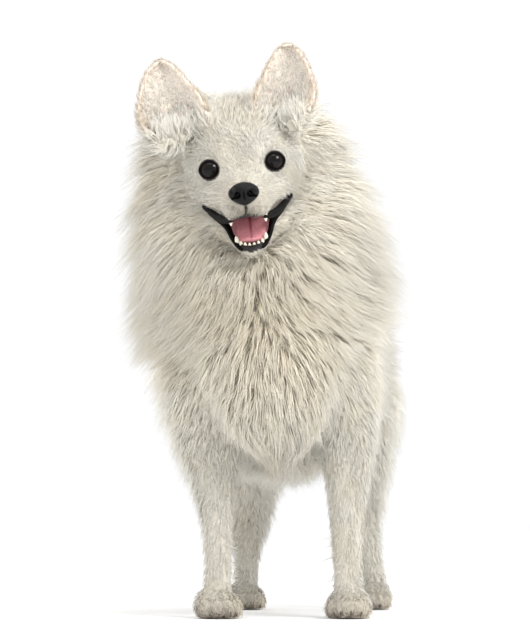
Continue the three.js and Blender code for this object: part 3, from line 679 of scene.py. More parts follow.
def readHead(body, points):
    # short fur on the muzzle, deeper on the cheeks and before the ears, and clear of the eyes
    local = toHead(points)
    x, y, z = local.T
    distance = np.minimum(skullDistance(local), rowsDistance(jawRows, local))
    nearer = distance < body["distance"] + 1.5
    cheek = np.clip((np.abs(x) - 14) / 14, 0, 1) * np.clip((26 - z) / 20, 0, 1)
    earBase = np.prod([np.clip(reach / 12, 0, 1) for reach in (z - 8, np.abs(x) - 8, y + 12)], axis=0)
    depth = np.interp(y, [-46, -30, -12, 0, 12, 30, 56], [1.5, 1.9, 2.6, 5, 10, 17, 22])
    depth = depth + cheek * np.interp(y, [-16, -4, 8, 26], [0, 5, 16, 22]) + 6 * earBase
    for side in (-1, 1):
        fromEye = np.maximum(lengths(local - eyePlaces[side]) - 10, 0)
        depth = np.minimum(depth, 1.4 + 0.55 * fromEye)
    lie = unit(local - (0, -60, -14)) + np.array([0, 0.3, 0])
    back = np.stack([0.95 * np.sign(x), np.full(len(x), 0.5),
                     np.interp(z, [-30, 0, 20], [-0.6, -0.25, 0.1])], 1)
    lie = mixed(lie, back, 0.8 * cheek)
    lie[:, 2] += np.clip((z - 8) / 20, 0, 1) * 0.6 + 0.5 * earBase
    lie[:, 1] -= 0.3 * earBase
    place = unwrapped(owners.index("head"), np.arctan2(z + 12, x) / (2 * np.pi) + 0.5,
                      np.clip((y + 50) / 115, 0, 1))
    claim(body, nearer, distance[nearer], "head", depth[nearer], (lie @ headTurn.T)[nearer], place[nearer])


def readEars(body, points):
    local = toHead(points)
    for side in (-1, 1):
        distance, index = nearest(local, earSamples(side))
        distance = distance - earShape["halfThickness"]
        nearer = (distance < body["distance"] + 0.5) & (local[:, 2] > 27)
        up = (index // earShape["across"]) / (earShape["up"] - 1)
        across = (index % earShape["across"]) / (earShape["across"] - 1)
        depth = 3.2 - 1.4 * up + 4 * np.clip(1 - up / 0.4, 0, 1)
        outward = side * (across - 0.5) * 0.9
        rising = np.stack([outward + side * 0.1, np.full(len(up), 0.1), np.ones(len(up))], 1)
        place = unwrapped(owners.index("ears"), (across + (side > 0)) / 2, up)
        claim(body, nearer, distance[nearer], "ears", depth[nearer], (rising @ headTurn.T)[nearer],
              place[nearer])


def readPaws(body, points):
    for number, name in enumerate(paws):
        place = np.clip((points[:, :2] - np.array(paws[name][:2])) / 60 + 0.5, 0, 1)
        place = unwrapped(owners.index("paws") + number, place[:, 0], place[:, 1])
        for at, sizes, turn in pawBalls(name):
            distance = ballDistance(points, at, sizes, (0, 0, turn))
            nearer = (distance < body["distance"] + 1) & (points[:, 2] < 20)
            claim(body, nearer, distance[nearer], "paws", 4.2, (0, -0.8, -0.6), place[nearer])


def readBody(points):
    # for points on the skin: what they belong to, the coat's depth, its lie and an unwrapped place
    count = len(points)
    body = {"distance": np.full(count, 1e3), "owner": np.zeros(count, int), "depth": np.zeros(count),
            "lie": np.zeros((count, 3)), "place": np.zeros((count, 2))}
    for read in (readLimbs, readHead, readEars, readPaws):
        read(body, points)
    return body["owner"], body["depth"], unit(body["lie"]), body["place"]


palette = {
    "hair": linear(245, 242, 233),
    # root: a darker cream, painted shade for the depths of the coat and for the skin between hairs
    "root": linear(231, 221, 200),
    "ruff": linear(239, 228, 205),
    "tan": linear(228, 202, 164),
    "earSkin": linear(238, 224, 212),
    # a reddish brown, painted shade for the ear's opening
    "earOpeningShade": linear(150, 104, 88),
    "grey": linear(84, 78, 80),
    "mouth": linear(74, 22, 26),
    "rim": linear(22, 17, 17),
}

# from the mouth's corner on the dog's left to the middle
upperLip = [(30, 5, -27.5), (24, -6, -33.5), (17.5, -20, -37.5), (12, -33, -38.5), (5.5, -43, -37),
            (0, -45, -34.5)]
lowerLip = [(30, 6, -28.5), (22.5, 2, -36), (15.8, -6, -43.5), (12.6, -13, -52), (7.8, -20.5, -58.6),
            (0, -24, -60.4)]


def lipPath(line):
    # the whole lip, from corner to corner
    return smoothRows(line + [(-x, y, z) for x, y, z in line[-2::-1]], 6)


def near(distance, reach):
    # 1 at no distance, falling to 0 at the reach
    return np.clip(1 - distance / reach, 0, 1)


def mixed(first, second, share):
    return blend(first, second, share[:, None])


def shortFurPaintedShade(depth):
    # painted shade: short fur lies close and catches more light than deep coat, so its tint is darkened
    return np.interp(depth, [3, 18], [0.8, 1])


def earRim(side):
    # the ear's tan edge, up one side and down the other
    v = np.linspace(0.15, 1, 30)
    ends = earSheet(side, np.linspace(-1, 1, 9), np.ones(9))
    return np.concatenate([earSheet(side, -np.ones(30), v), earSheet(side, np.ones(30), v), ends])


def toeFoldShade(points):
    # 1 in the folds between neighbouring toes, where grey is painted as shade
    share = np.zeros(len(points))
    for name in paws:
        toes = [ballDistance(points, at, sizes, (0, 0, turn)) for at, sizes, turn in pawBalls(name)][1:]
        for one, two in zip(toes, toes[1:]):
            share = np.maximum(share, near(one - two, 1.3) * near(np.minimum(one, two), 9))
    return share


def markings(points, owner):
    # the coat's colours, for skin and hair alike, with painted shade in the folds between the toes
    local = toHead(points)
    colour = np.tile(palette["hair"], (len(points), 1))
    chest = near(np.abs(points[:, 0] + 12), 75) * near(np.abs(points[:, 2] - 215), 110)
    chest *= np.clip((20 - points[:, 1]) / 40, 0, 1)
    colour = mixed(colour, palette["ruff"], 0.8 * chest)
    for side in (-1, 1):
        colour = mixed(colour, palette["tan"], 0.8 * near(nearest(local, earRim(side))[0], 4.5))
    toes = near(points[:, 2], 16) * (owner == owners.index("paws"))
    colour = mixed(colour, palette["tan"], 0.55 * toes)
    # painted shade: grey in the folds between the toes
    colour = mixed(colour, palette["grey"], 0.6 * toes * toeFoldShade(points))
    lips = np.concatenate([lipPath(upperLip), lipPath(lowerLip)])
    colour = mixed(colour, palette["grey"], 0.7 * near(nearest(local, lips)[0] - 1.5, 4))
    front = np.clip((-34 - local[:, 1]) / 6, 0, 1)
    colour = mixed(colour, palette["grey"], 0.9 * front * near(lengths(local - (0, -44, -32)) - 6, 11))
    colour = mixed(colour, palette["grey"], 0.5 * near(lengths(local - head["nose"]) - 9, 4))
    for side in (-1, 1):
        colour = mixed(colour, palette["grey"], 0.5 * near(eyeRadial(local, side) - 7, 3.5))
    return colour


def lipGap(local):
    # the bare fold between the lips, from the corners of the mouth inwards
    y, z = local[:, 1], local[:, 2]
    aside = np.abs(local[:, 0])
    (upperY, upperZ), (lowerY, lowerZ) = (
        [np.interp(aside, line[:, 0], line[:, k]) for k in (1, 2)]
        for line in (np.array(upperLip)[::-1], np.array(lowerLip)[::-1]))
    between = (z < upperZ + 1.5) & (z > lowerZ - 1.5)
    return between & (aside < 31.5) & (np.abs(y - (upperY + lowerY) / 2) < 12)


def philtrum(local):
    # the dark cleft below the nose
    return near(np.abs(local[:, 0]), 1.6) * (local[:, 2] < -26) * (local[:, 2] > -36) * (local[:, 1] < -42)


def skinColours(points, owner, depth):
    local = toHead(points)
    # painted shade: the skin takes the darker root tint and is dimmed further, so the gaps between hairs
    # read as shadow
    colour = mixed(markings(points, owner), palette["root"], np.full(len(points), 0.5))
    colour = colour * 0.82 * shortFurPaintedShade(depth)[:, None]
    for side in (-1, 1):
        colour = mixed(colour, palette["rim"], np.clip(2 * near(eyeRadial(local, side) - 6.6, 1.4), 0, 1))
        samples = earSamples(side)
        distance, index = nearest(local, samples)
        front = (local[:, 1] < samples[index, 1] - 0.3) & (distance < 4) & (local[:, 2] > 24)
        colour = mixed(colour, palette["earSkin"], np.where(front, 0.8, 0))
        # painted shade: a reddish brown spot stands for the shaded opening of the ear
        earOpeningShade = near(lengths((local - (side * 36, 8, 40)) / (1.2, 1, 1)), 9)
        colour = mixed(colour, palette["earOpeningShade"], np.clip(1.6 * earOpeningShade, 0, 1))
    colour = mixed(colour, palette["rim"], np.clip(1.5 * philtrum(local), 0, 1))
    for at, sizes, turn in mouthHollows:
        colour[np.abs(ballDistance(local, at, sizes, (turn, 0, 0))) < 1.5] = palette["mouth"]
    colour = mixed(colour, palette["rim"], np.where(lipGap(local), 1, 0))
    return colour


undercoat = {"share": 0.4, "shortest": 3, "steps": 6, "rounds": 110}


def lifted(points, height, start):
    # points moved out along the field to a height over the place where they began
    for step in range(1, undercoat["steps"] + 1):
        value, slope = coatField.read(points, slope=True)
        points = points + slope * (start + height * step / undercoat["steps"] - value)[:, None]
    return points


skinOwner, skinDepth, skinLie, skinPlace = readBody(skinPoints)
evened = np.concatenate([skinDepth[:, None], skinLie], 1)
for _ in range(undercoat["rounds"]):
    long = np.clip((evened[:, :1] - 4) / 6, 0, 1)
    evened = evened + long * (relaxed(evened, skinFaces) - evened)
skinDepth, skinLie = evened[:, 0], unit(evened[:, 1:])
skinStart = coatField.read(skinPoints)
undercoatHeight = undercoat["share"] * np.maximum(skinDepth - undercoat["shortest"], 0)
barePoints = skinPoints
skinPoints = lifted(skinPoints, undercoatHeight, skinStart)
skinPoints[:, 2] = np.where(undercoatHeight > 0, np.maximum(skinPoints[:, 2], 1), skinPoints[:, 2])
fleshNodes = ["head", "jaw", "neck", "torso", "tail_base", "tail_tip"] + [
    f"{end}_{side}_{part}" for end in ("front", "hind") for side in ("left", "right")
    for part in ("leg", "paw")] + ["ear_left", "ear_right"]
makePiece("skin", skinPoints, skinFaces, skinLook,
          skinColours(skinPoints, skinOwner, skinDepth), replaced=fleshNodes)

# The coat: hairs stand in clumps whose paths keep a set height over the skin and lean along its lie.

coats = {   # run: how far hair of 2, 5 and 16 mm depth lies along the skin, for its depth
    "ruff": {"owners": ["neck"], "spacing": 5.6, "strands": 26, "width": 0.62, "run": (1.1, 1.1, 1.1),
             "hang": 0.3, "pull": 0.22, "spread": 0.1},
    "back": {"owners": ["torso"], "spacing": 6, "strands": 13, "width": 0.75, "run": (1.5, 1.5, 1.5),
             "hang": 0.35, "pull": 0.25, "spread": 0.12},
    "plume": {"owners": ["tail"], "spacing": 5, "strands": 13, "width": 0.7, "run": (1.5, 1.5, 1.5),
              "hang": 0.15, "pull": 0.3, "spread": 0.2},
    "legs": {"owners": ["frontRight", "frontLeft", "hindRight", "hindLeft"], "spacing": 4.2, "strands": 6,
             "width": 0.62, "run": (2.6, 2.2, 1.1), "hang": 0.15, "pull": 0.15, "spread": 0.14},
    "face": {"owners": ["head"], "spacing": 2.5, "strands": 7, "width": 0.42, "run": (2.6, 2.1, 1.4),
             "hang": 0.1, "pull": 0.15, "spread": 0.12},
    "wisps": {"owners": ["head", "neck"], "spacing": 9, "strands": 3, "width": 0.4, "run": (1.2, 1.2, 1.2),
              "hang": 0.1, "pull": 0, "spread": 0.3, "longer": 1.15},
    "ears": {"owners": ["ears"], "spacing": 2.3, "strands": 6, "width": 0.36, "run": (2.6, 2.2, 1.4),
             "hang": 0, "pull": 0.1, "spread": 0.18, "short": True},
    "paws": {"owners": ["paws"], "spacing": 2.7, "strands": 5, "width": 0.5, "run": (2.2, 2.2, 1.6),
             "hang": 0, "pull": 0.15, "spread": 0.16, "short": True},
}
hairRings = 2
candidates = 340000      # places tried for a root, over the whole skin
mostTriangles = 190000   # in one piece of the coat
farLeft = 105            # how far out a hair's tip may stand at the dog's left
eyeClear = 8             # how far from an eye's line of sight a tip stays


def scatter(points, faces, count, random):
    # evenly likely places on the skin, as three corners and their shares
    corners = points[faces]
    one = lengths(np.cross(corners[:, 1] - corners[:, 0], corners[:, 2] - corners[:, 0]))
    two = lengths(np.cross(corners[:, 2] - corners[:, 0], corners[:, 3] - corners[:, 0]))
    half = np.concatenate([one, two])
    pick = random.choice(len(half), count, p=half / half.sum())
    face, second = faces[pick % len(faces)], pick >= len(faces)
    a, b = random.random((2, count))
    flip = a + b > 1
    a[flip], b[flip] = 1 - a[flip], 1 - b[flip]
    ids = np.stack([face[:, 0], face[:, 2], np.where(second, face[:, 3], face[:, 1])], 1)
    return ids, np.stack([1 - a - b, a, b], 1)


def shared(values, ids, shares):
    # the values of three corners, mixed by their shares
    return (values[ids] * shares.reshape(shares.shape + (1,) * (values.ndim - 1))).sum(1)


def isBare(points):
    # where no hair grows: eyes, nose, mouth and lips
    local = toHead(points)
    bare = np.zeros(len(points), bool)
    for side in (-1, 1):
        bare |= eyeRadial(local, side) < 7.6
    bare |= ballDistance(local, head["nose"], head["noseSizes"]) < 1.2
    for at, sizes, turn in mouthHollows:
        bare |= ballDistance(local, at, sizes, (turn, 0, 0)) < 1.2
    lips = np.concatenate([lipPath(upperLip), lipPath(lowerLip)])
    bare |= nearest(local, lips)[0] < np.interp(np.abs(local[:, 0]), [7, 12, 20], [0.6, 2.6, 3.2])
    return bare | lipGap(local)


def hairPaths(field, roots, lie, depth, run, hang, rings):
    # ring by ring, a path rises to its depth over its root as it leans along the lie
    start, slope = field.read(roots, slope=True)
    steps = np.linspace(0, 1, rings + 1)
    at = roots.copy()
    path = [at - slope * 0.8]
    for before, s in zip(steps, steps[1:]):
        flat = lie + np.array([0, 0, -1.0]) * hang * s
        flat = unit(flat - (flat * slope).sum(1)[:, None] * slope)
        at = at + flat * (depth * run * (s ** 1.35 - before ** 1.35))[:, None]
        value, slope = field.read(at, slope=True)
        height = start + depth * s ** 0.8
        at = at + slope * (height - value)[:, None]
        path.append(at)
    return np.stack(path, 1)


def cornerNormals(points, faces):
    across = np.cross(points[faces[:, 2]] - points[faces[:, 0]], points[faces[:, 3]] - points[faces[:, 1]])
    total = np.stack([sum(np.bincount(faces[:, c], across[:, k], len(points)) for c in range(4))
                      for k in range(3)], 1)
    return unit(total)


skinNormals = cornerNormals(skinPoints, skinFaces)
skinTree = kdtree.KDTree(len(skinPoints))
for k, point in enumerate(skinPoints.tolist()):
    skinTree.insert(point, k)
skinTree.balance()


def keptClear(paths, depth):
    # hairs that dip into a rounded place or a bank of the undercoat are raised over it again
    steps = np.linspace(0, 1, paths.shape[1])
    for k in range(1, paths.shape[1]):
        corner = np.array([skinTree.find(point)[1] for point in paths[:, k].tolist()])
        normal = skinNormals[corner]
        height = ((paths[:, k] - skinPoints[corner]) * normal).sum(1)
        least = np.maximum(0.4 * depth * steps[k] ** 0.8, 0.25)
        paths[:, k] += normal * np.clip(least - height, 0, 2.5 + depth)[:, None]
    return paths


def trimmed(hairs):
    # hairs that would lie across an eye, or stand out too far at the dog's left, are cut short
    for _ in range(5):
        tips = toHead(hairs[:, -1])
        overEye = np.minimum(eyeRadial(tips, -1), eyeRadial(tips, 1)) < eyeClear
        far = overEye | (hairs[:, -1, 0] > farLeft)
        hairs = np.where(far[:, None, None], hairs[:, :1] + 0.6 * (hairs - hairs[:, :1]), hairs)
    return hairs


def strandMesh(paths, width, over, colours, places):
    # three-sided hairs, closed at the root and drawn to a point
    strands, rings = paths.shape[0], paths.shape[1] - 1
    along = unit(np.gradient(paths, axis=1))
    side = unit(np.cross(along, over[:, None, :]))
    up = np.cross(side, along)
    taper = np.linspace(1, 0.55, rings) if rings > 2 else np.array([1.0, 0.75])
    half = width[:, None] / 2 * taper[None, :]
    ring = []
    for turn in (90, 210, 330):
        a = math.radians(turn)
        ring.append(paths[:, :rings] + half[..., None] * (math.cos(a) * side[:, :rings]
                                                          + 0.6 * math.sin(a) * up[:, :rings]))
    body = np.stack(ring, 2).reshape(strands, rings * 3, 3)
    points = np.concatenate([body, paths[:, -1:]], 1)
    each = rings * 3 + 1
    pattern = [(0, 1, 2)]
    for r in range(rings - 1):
        for k in range(3):
            a, b = 3 * r + k, 3 * r + (k + 1) % 3
            pattern += [(a, a + 3, b + 3), (a, b + 3, b)]
    for k in range(3):
        pattern.append((3 * rings - 3 + k, 3 * rings, 3 * rings - 3 + (k + 1) % 3))
    faces = (np.arange(strands)[:, None, None] * each + np.array(pattern)[None]).reshape(-1, 3)
    level = np.append(np.repeat(np.arange(rings), 3), rings) / rings
    across = np.append(np.tile([0, 0.5, 1], rings), 0.5)
    rise = level[None, :, None]
    tint = colours[:, :1] * (1 - rise) + colours[:, 1:] * rise
    patch = places[:, None] + 0.003 * np.stack([across - 0.5, level - 0.5], 1)[None]
    return points.reshape(-1, 3), faces, tint.reshape(-1, 3), np.clip(patch, 0, 1).reshape(-1, 2)


random = np.random.default_rng(seed)
ids, shares = scatter(skinPoints, skinFaces, candidates, random)
hairy = ~isBare(shared(barePoints, ids, shares))
ids, shares = ids[hairy], shares[hairy]
rootOwner = skinOwner[ids[:, 0]]
rootPlace = np.where((np.ptp(skinPlace[ids], axis=1) > 0.1).any(1)[:, None], skinPlace[ids[:, 0]],
                     shared(skinPlace, ids, shares))
rootPoints = shared(skinPoints, ids, shares)
rootDepth = shared(skinDepth, ids, shares)
rootLie = unit(shared(skinLie, ids, shares))
rootRest = rootDepth - shared(undercoatHeight, ids, shares)   # what stands above the undercoat
print("coat roots", len(ids))


def waves(points, size, count, number=7):
    # slow seeded swells through space, about 1 high
    turns = np.random.default_rng(seed + number).normal(0, 2 * np.pi / size, (5, count, 3)) * 0.7
    starts = np.random.default_rng(seed + number).uniform(0, 2 * np.pi, (5, count))
    return sum(np.sin(points @ turn.T + start) for turn, start in zip(turns, starts)) / 2.2


def flowing(points, owner, lie):
    # each part's own lie, and how far its hair runs along the skin for its depth
    names = np.array(owners)[owner]
    way = lie.copy()
    run = np.ones(len(points))
    neck = names == "neck"
    aside = np.clip((points[:, 0] + 24) / 40, -1, 1)
    way[neck] += np.stack([0.36 * aside, np.full(len(points), 0.2), np.zeros(len(points))], 1)[neck]
    high = np.where(neck, np.clip((points[:, 2] - 275) / 55, 0, 1), 0)
    way = mixed(way, np.stack([0.7 * aside, np.full(len(points), 0.6), np.full(len(points), -0.2)], 1), high)
    run *= 1 - 0.4 * high
    way[names == "torso"] += (0, 0.1, -0.35)
    long = np.where(np.isin(names, ["neck", "torso", "head"]), 0.32, 0.14)
    return unit(way) + waves(points, 40, 3) * long[:, None], run


def cubes(points, spacing):
    # a number for the little cube of space that each place is in
    cube = np.floor(points / spacing).astype(np.int64)
    return np.unique(cube[:, 0] * 73856093 ^ cube[:, 1] * 19349663 ^ cube[:, 2] * 83492791,
                     return_index=True, return_inverse=True)


def clumps(roots, settings):
    # the roots in one little cube are one clump: its first root, and each hair's clump and root
    _, lead, clump = cubes(roots, settings["spacing"] / math.sqrt(density))
    rank = np.argsort(np.argsort(clump, kind="stable"), kind="stable") - np.searchsorted(
        np.sort(clump), clump)
    taken = np.flatnonzero(rank < settings["strands"])
    return lead, clump[taken], taken


def tintedHairs(roots, owner, depth, full, count, clump):
    # each hair's colour at its root and at its tip, darker towards the root as painted shade in the depths
    # of the coat
    base = markings(roots, owner)
    shade = random.normal(1, 0.015, count)[clump] * random.normal(1, 0.03, len(roots))
    shade = shade * shortFurPaintedShade(depth / (1 - undercoat["share"]))
    swell = waves(roots, 26, 2, 3)
    base = mixed(base, palette["ruff"], 0.35 * np.clip(swell[:, 0], 0, 1))
    shade = shade * (1 + 0.02 * swell[:, 1])
    tips = base * shade[:, None]
    # painted shade: deeper coat takes more of the darker root tint near its roots
    bottoms = mixed(tips, palette["root"] * shade[:, None], 0.8 * np.clip(full / 30, 0.1, 1))
    return np.clip(np.stack([bottoms, tips], 1), 0.01, 0.93)


def growCoat(name, settings):
    # each clump's first hair is laid along the skin, and its others follow it
    field = skinField if settings.get("short") else coatField
    own = np.isin(rootOwner, [owners.index(o) for o in settings["owners"]])
    roots, owner, depth, lie, place = (part[own] for part in (rootPoints, rootOwner, rootRest, rootLie,
                                                              rootPlace))
    lead, clump, taken = clumps(roots, settings)
    count, total = len(lead), len(taken)
    way, run = flowing(roots[lead], owner[lead], lie[lead])
    way = unit(way + random.normal(0, settings["spread"], (count, 3)))
    full = depth[lead] * (0.92 + 0.08 * waves(roots[lead], 20, 1)[:, 0]) * random.uniform(0.88, 1, count)
    full = full * settings.get("longer", 1)
    run = run * np.interp(full, [2, 5, 16], settings["run"])
    paths = hairPaths(field, roots[lead], way, full, run, settings["hang"], hairRings)
    levels = np.linspace(0, 1, hairRings + 1)
    stray = random.random(total) < 0.12
    pull = np.where(stray, 0, settings["pull"] * random.uniform(0.3, 1.2, total))
    length = np.where(stray, random.uniform(0.9, 1.08, total), random.uniform(0.6, 1.0, total))
    hairs = paths[clump]
    scale = length * np.clip(depth[taken] / depth[lead][clump], 0.6, 1.2)
    hairs = hairs[:, :1] + (hairs - hairs[:, :1]) * scale[:, None, None]
    offset = roots[taken] - roots[lead][clump]
    loose = random.normal(0, 1, (total, 3)) * (full[clump] * 0.11)[:, None]
    hairs = hairs + offset[:, None] * (1 - pull[:, None] * levels ** 1.4)[..., None] \
        + loose[:, None] * (levels ** 2)[None, :, None]
    hairs = keptClear(hairs, full[clump])
    if "head" in settings["owners"]:
        hairs = trimmed(hairs)
    hairs[..., 2] = np.maximum(hairs[..., 2], 0.8)
    width = settings["width"] * random.uniform(0.65, 1.25, total)
    colours = tintedHairs(roots[taken], owner[taken], depth[taken], full[clump], count, clump)
    slope = field.read(roots[taken], slope=True)[1]
    places = place[taken]
    triangles = total * (6 * (hairRings - 1) + 4)
    pieces = np.array_split(np.argsort(places[:, 0], kind="stable"), math.ceil(triangles / mostTriangles))
    for number, part in enumerate(pieces, 1):
        points, faces, tint, patches = strandMesh(hairs[part], width[part], slope[part],
                                                  colours[part], places[part])
        makePiece(f"coat_{name}_{number}", points, faces, coatLook, tint, patches)
    print("coat", name, count, "clumps", triangles, "triangles")
    return triangles


coatTriangles = sum(growCoat(name, settings) for name, settings in coats.items())
print("coat triangles", coatTriangles)

# The face: eyes with lids, nose, lips, teeth, tongue and whiskers.


def tubeDistance(points, line, radii):
    best = np.full(len(points), 1e3)
    for (a, b), (ra, rb) in zip(zip(line, line[1:]), zip(radii, radii[1:])):
        way = b - a
        t = np.clip((points - a) @ way / (way @ way), 0, 1)
        best = np.minimum(best, lengths(points - a - t[:, None] * way) - (ra + t * (rb - ra)))
    return best


def ringFaces(rings, around):
    # triangles over rings of points that are followed by the poles of the first and the last ring
    first, last = rings * around, rings * around + 1
    top = (rings - 1) * around
    faces = []
    for k in range(around):
        after = (k + 1) % around
        faces += [(first, after, k), (last, top + k, top + after)]
        for a in range(0, top, around):
            b = a + around
            faces += [(a + k, a + after, b + after), (a + k, b + after, b + k)]
    return np.array(faces)


def localPiece(name, low, high, step, build, finish, replaced=()):
    # a small shape netted on a fine grid in the head's own place
    field = Field([gridLines(a, b, step) for a, b in zip(low, high)])
    build(field, np.array(low), np.array(high))
    points, faces = netSurface(field)
    makePiece(name, fromHead(points), faces, finish, replaced=replaced)


def buildNose(field, low, high):
    w, d, h = head["noseSizes"]

    def pad(p):
        below = np.clip((head["nose"][2] - p[:, 2]) / h, 0, 1)
        squeezed = p.copy()
        squeezed[:, 0] = p[:, 0] / (1 - 0.34 * below ** 1.5)
        return ballDistance(squeezed, head["nose"], (w, d, h))
    field.join(low, high, pad, 1)
    details = []
    for side in (-1, 1):   # nostril, the slit beside it, and the wing over both
        details += [((side * 4.7, -53.6, -20.8), (2.5, 4, 2.4), 0, 1, True),
                    ((side * 7.6, -51.6, -22.4), (3, 3, 1.2), side * 24, 0.8, True),
                    ((side * 7.8, -51, -19), (2.4, 2.6, 3), 0, 2, False)]
    details.append(((0, -55.2, -24.5), (0.6, 2.6, 7), 0, 0.8, True))
    for at, sizes, roll, soft, cut in details:
        field.join(low, high, lambda p: ballDistance(p, at, sizes, (0, roll, 0)), soft, cut)


localPiece("nose_pad", (-14, -58, -32), (14, -40, -9), 0.45, buildNose, noseLook, ["nose"])


def buildLips(field, low, high):
    upper, lower = lipPath(upperLip), lipPath(lowerLip)
    place = np.linspace(0, 1, len(upper))
    radii = {"upper": [1.5, 2.5, 2.6, 1.3, -1, -1], "lower": [1.5, 2.4, 2.2, 1.7, 1.6, 1.7]}
    for line, name, soft in ((upper, "upper", 0.5), (lower, "lower", 1.5)):
        thick = np.interp(0.5 - np.abs(place - 0.5), np.linspace(0, 0.5, 6), radii[name])
        field.join(low, high, lambda p: tubeDistance(p, line, thick), soft)


localPiece("lips", (-36, -52, -64), (36, 14, -22), 0.8, buildLips, lipLook)


def eyeTurn(side):
    return np.array(Euler((0, 0, math.radians(side * eyeYaw)), "XYZ").to_matrix())


def eyePiece(side):
    # a ball with a slightly raised clear front, its rings running round the line of sight
    name = "left" if side > 0 else "right"
    rings, around, radius = 25, 40, head["eyeRadius"]
    polar = np.repeat(np.pi * np.arange(1, rings + 1) / (rings + 1), around)
    angle = np.tile(2 * np.pi * np.arange(around) / around, rings)
    bulge = 1 + 0.04 * np.maximum(0, 1 - (polar / 0.7) ** 2)
    body = np.stack([np.sin(polar) * np.cos(angle), -np.cos(polar) * bulge,
                     np.sin(polar) * np.sin(angle)], 1)
    points = np.concatenate([body, [(0, -1.04, 0), (0, 1, 0)]]) * radius
    grey = np.interp(np.degrees(polar), [0, 24, 28, 42, 50, 60, 90], [5, 5, 26, 34, 12, 10, 40])
    tint = linear(*(grey[:, None] * (1, 0.72, 0.6)).T)
    tint = np.concatenate([tint, [linear(6, 5, 5), linear(40, 30, 26)]])
    placed = fromHead(points @ eyeTurn(side).T + eyePlaces[side])
    makePiece(f"eyeball_{name}", placed, ringFaces(rings, around), eyeLook, tint,
              replaced=[f"eye_{name}"])


def lidPiece(side):
    # a dark rim, almond in outline, thicker above, round the eye's opening
    name = "left" if side > 0 else "right"
    turn = eyeTurn(side)
    angle = np.linspace(0, 2 * np.pi, 49)
    corner = 1 + 0.1 * np.cos(angle) ** 8
    ring = np.stack([6.3 * np.cos(angle) * corner, -7.1 + 0.4 * np.cos(angle) ** 2, 5.9 * np.sin(angle)], 1)
    radii = 0.85 + 0.25 * np.clip(np.sin(angle), 0, 1)

    def build(field, low, high):
        field.join(low, high, lambda p: tubeDistance((p - eyePlaces[side]) @ turn, ring, radii), 0.5)
    x, y, z = eyePlaces[side]
    localPiece(f"lids_{name}", (x - 13, y - 10, z - 12), (x + 13, y + 4, z + 12), 0.5, build, lipLook)


for side in (-1, 1):
    eyePiece(side)
    lidPiece(side)

tongueShape = {
    "rows": [(0, 14, -36, 11.5, 3.6), (0, 4, -42, 12.8, 3.6), (0, -6, -48, 12, 3.2),
             (0, -14.5, -53.4, 9, 2.4)],
    "groove": 0.95,
}


def buildTongue(field, low, high):
    rows = smoothRows(tongueShape["rows"], 5)
    field.join(low, high, lambda p: rowsDistance(rows, p), 1)
    for deep in (2.0, 3.6):
        middle = rows[:, :3] + (0, -1.4, deep)
        groove = np.full(len(middle), tongueShape["groove"])
        field.join(low, high, lambda p: tubeDistance(p, middle, groove), 0.6, cut=True)


localPiece("tongue_flesh", (-16, -26, -60), (16, 28, -32), 0.6, buildTongue, tongueLook,
           ["tongue"])


def toothShape(at, lean, half, tall, rings=7, around=10):
    # one tooth or claw, round at its root and worn to a soft point
    lean = unit(np.array(lean, float))
    side = unit(np.cross(lean, (0.0, 1.0, 0.2)))
    front = np.cross(side, lean)
    s = np.repeat(np.arange(rings) / rings, around)[:, None]
    a = np.tile(2 * np.pi * np.arange(around) / around, rings)[:, None]
    size = half * (1 - s ** 2.2) ** 0.6
    body = at + lean * tall * s + side * size * np.cos(a) + front * size * np.sin(a) * 0.8
    return np.concatenate([body, [at], [at + lean * tall]]), ringFaces(rings, around)


def joinShapes(shapes):
    start, points, faces = 0, [], []
    for own, ownFaces in shapes:
        points.append(own)
        faces.append(ownFaces + start)
        start += len(own)
    return np.concatenate(points), np.concatenate(faces)


lowerRow = [(1.6, -21.8, -58.6), (4.6, -21, -58), (7.4, -18.9, -56.8)]   # half of the small teeth in front
teeth = [toothShape((side * x, y, z), (0, -0.1, 1), 1.35, 3.6) for side in (-1, 1) for x, y, z in lowerRow]
for side in (-1, 1):
    teeth.append(toothShape((side * 9.6, -16, -56.4), (side * 0.1, -0.15, 1), 1.8, 7.2))
    teeth.append(toothShape((side * 11.8, -32, -35), (side * 0.03, -0.05, -1), 1.6, 7))
toothPoints, toothFaces = joinShapes(teeth)
makePiece("teeth", fromHead(toothPoints), toothFaces, toothLook)


def makeWhiskers():
    whiskers = {"rows": 3, "perRow": 4, "length": (22, 36), "width": 0.16}
    roots, ways = [], []
    for side in (-1, 1):
        for r in range(whiskers["rows"]):
            for k in range(whiskers["perRow"]):
                roots.append((side * (11.5 + 1.3 * k), -42 + 5.0 * k, -19.5 - 2.2 * r))
                ways.append((side * 1.0, 0.1 + 0.12 * k, 0.3 - 0.16 * r))
    count = len(roots)
    roots, ways = np.array(roots), unit(np.array(ways) + random.normal(0, 0.07, (count, 3)))
    long = random.uniform(*whiskers["length"], count)
    s = np.linspace(0, 1, 7)[:5]
    paths = roots[:, None] + ways[:, None] * (long[:, None] * s)[..., None]
    paths = paths + np.array([0, 0.25, -0.5]) * (long[:, None] * s ** 2)[..., None] * 0.3
    points, faces, _, _ = strandMesh(paths, np.full(count, whiskers["width"]),
                                     np.tile([0.0, -1.0, 0.3], (count, 1)), np.ones((count, 2, 3)),
                                     np.zeros((count, 2)))
    makePiece("whiskers", fromHead(points), faces, whiskerLook)


makeWhiskers()


def makeClaws():
    shapes = []
    claw = {"forward": 6.8, "level": 5.0, "half": 1.35, "long": 6.2, "dip": 0.62}
    for name, (_, _, turn, size) in paws.items():
        angle = math.radians(turn)
        way = (math.sin(angle), -math.cos(angle), -claw["dip"])
        for x, y in toePlaces:
            at = (*pawPoint(name, x, y - claw["forward"]), claw["level"] * size)
            shapes.append(toothShape(at, way, claw["half"] * size, claw["long"] * size))
    points, faces = joinShapes(shapes)
    makePiece("claws", points, faces, clawLook)


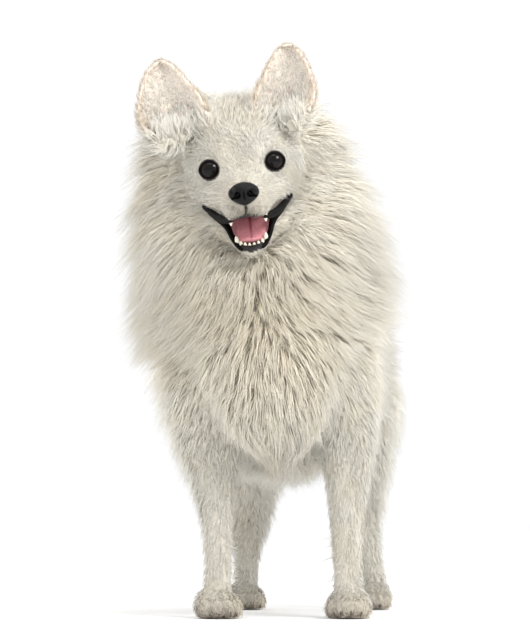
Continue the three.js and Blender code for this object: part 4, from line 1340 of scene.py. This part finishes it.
makeClaws()
print("face and claws made")

# Floor, light and camera

view = {
    "at": (-10.5, -3200, 102),         # the camera, in the dog's own place
    "up": math.degrees(math.atan2(107, 3200)),
    "focal": 4573,                     # the focal length in pixels of a picture this high
    "pixels": 638,
    "sensor": 36,
}


def makeFloor():
    finish, _, shader = newFinish("StudioFloor", 0.8)
    shader.inputs["Base Color"].default_value = (0.98, 0.98, 0.98, 1)
    mesh = bpy.data.meshes.new("floor")
    reach = 6.0
    mesh.from_pydata([(-reach, -reach, 0), (reach, -reach, 0), (reach, reach, 0), (-reach, reach, 0)], [],
                     [(0, 1, 2, 3)])
    mesh.materials.append(finish)
    floor = bpy.data.objects.new("floor", mesh)
    bpy.context.scene.collection.objects.link(floor)


def makeLight(name, place, aim, size, power):
    data = bpy.data.lights.new(name, "AREA")
    data.shape = "RECTANGLE"
    data.size, data.size_y = size
    data.energy = power
    lamp = bpy.data.objects.new(name, data)
    bpy.context.scene.collection.objects.link(lamp)
    lamp.location = place
    direction = np.array(aim) - np.array(place)
    lamp.rotation_euler = Vector(direction).to_track_quat("-Z", "Y").to_euler()


def makeWorld(strength):
    world = bpy.data.worlds.new("Studio")
    world.use_nodes = True
    back = world.node_tree.nodes["Background"]
    back.inputs["Color"].default_value = (1, 1, 1, 1)
    back.inputs["Strength"].default_value = strength
    bpy.context.scene.world = world


makeFloor()
makeWorld(1.03)
makeLight("key", (0.86, -1.1, 1.14), (0, 0, 0.25), (0.6, 0.5), 16)
makeLight("top", (-0.2, -0.7, 1.9), (0, 0, 0.2), (1.0, 1.0), 10)

cameraData = bpy.data.cameras.new("camera")
cameraData.lens = view["focal"] * view["sensor"] / view["pixels"]
cameraData.sensor_width = view["sensor"]
cameraData.clip_end = 30
camera = bpy.data.objects.new("camera", cameraData)
bpy.context.scene.collection.objects.link(camera)
camera.location = inFrame([view["at"]])[0]
camera.rotation_euler = (math.radians(90 + view["up"]), 0, 0)
bpy.context.scene.camera = camera
bpy.context.scene.view_settings.view_transform = "Standard"
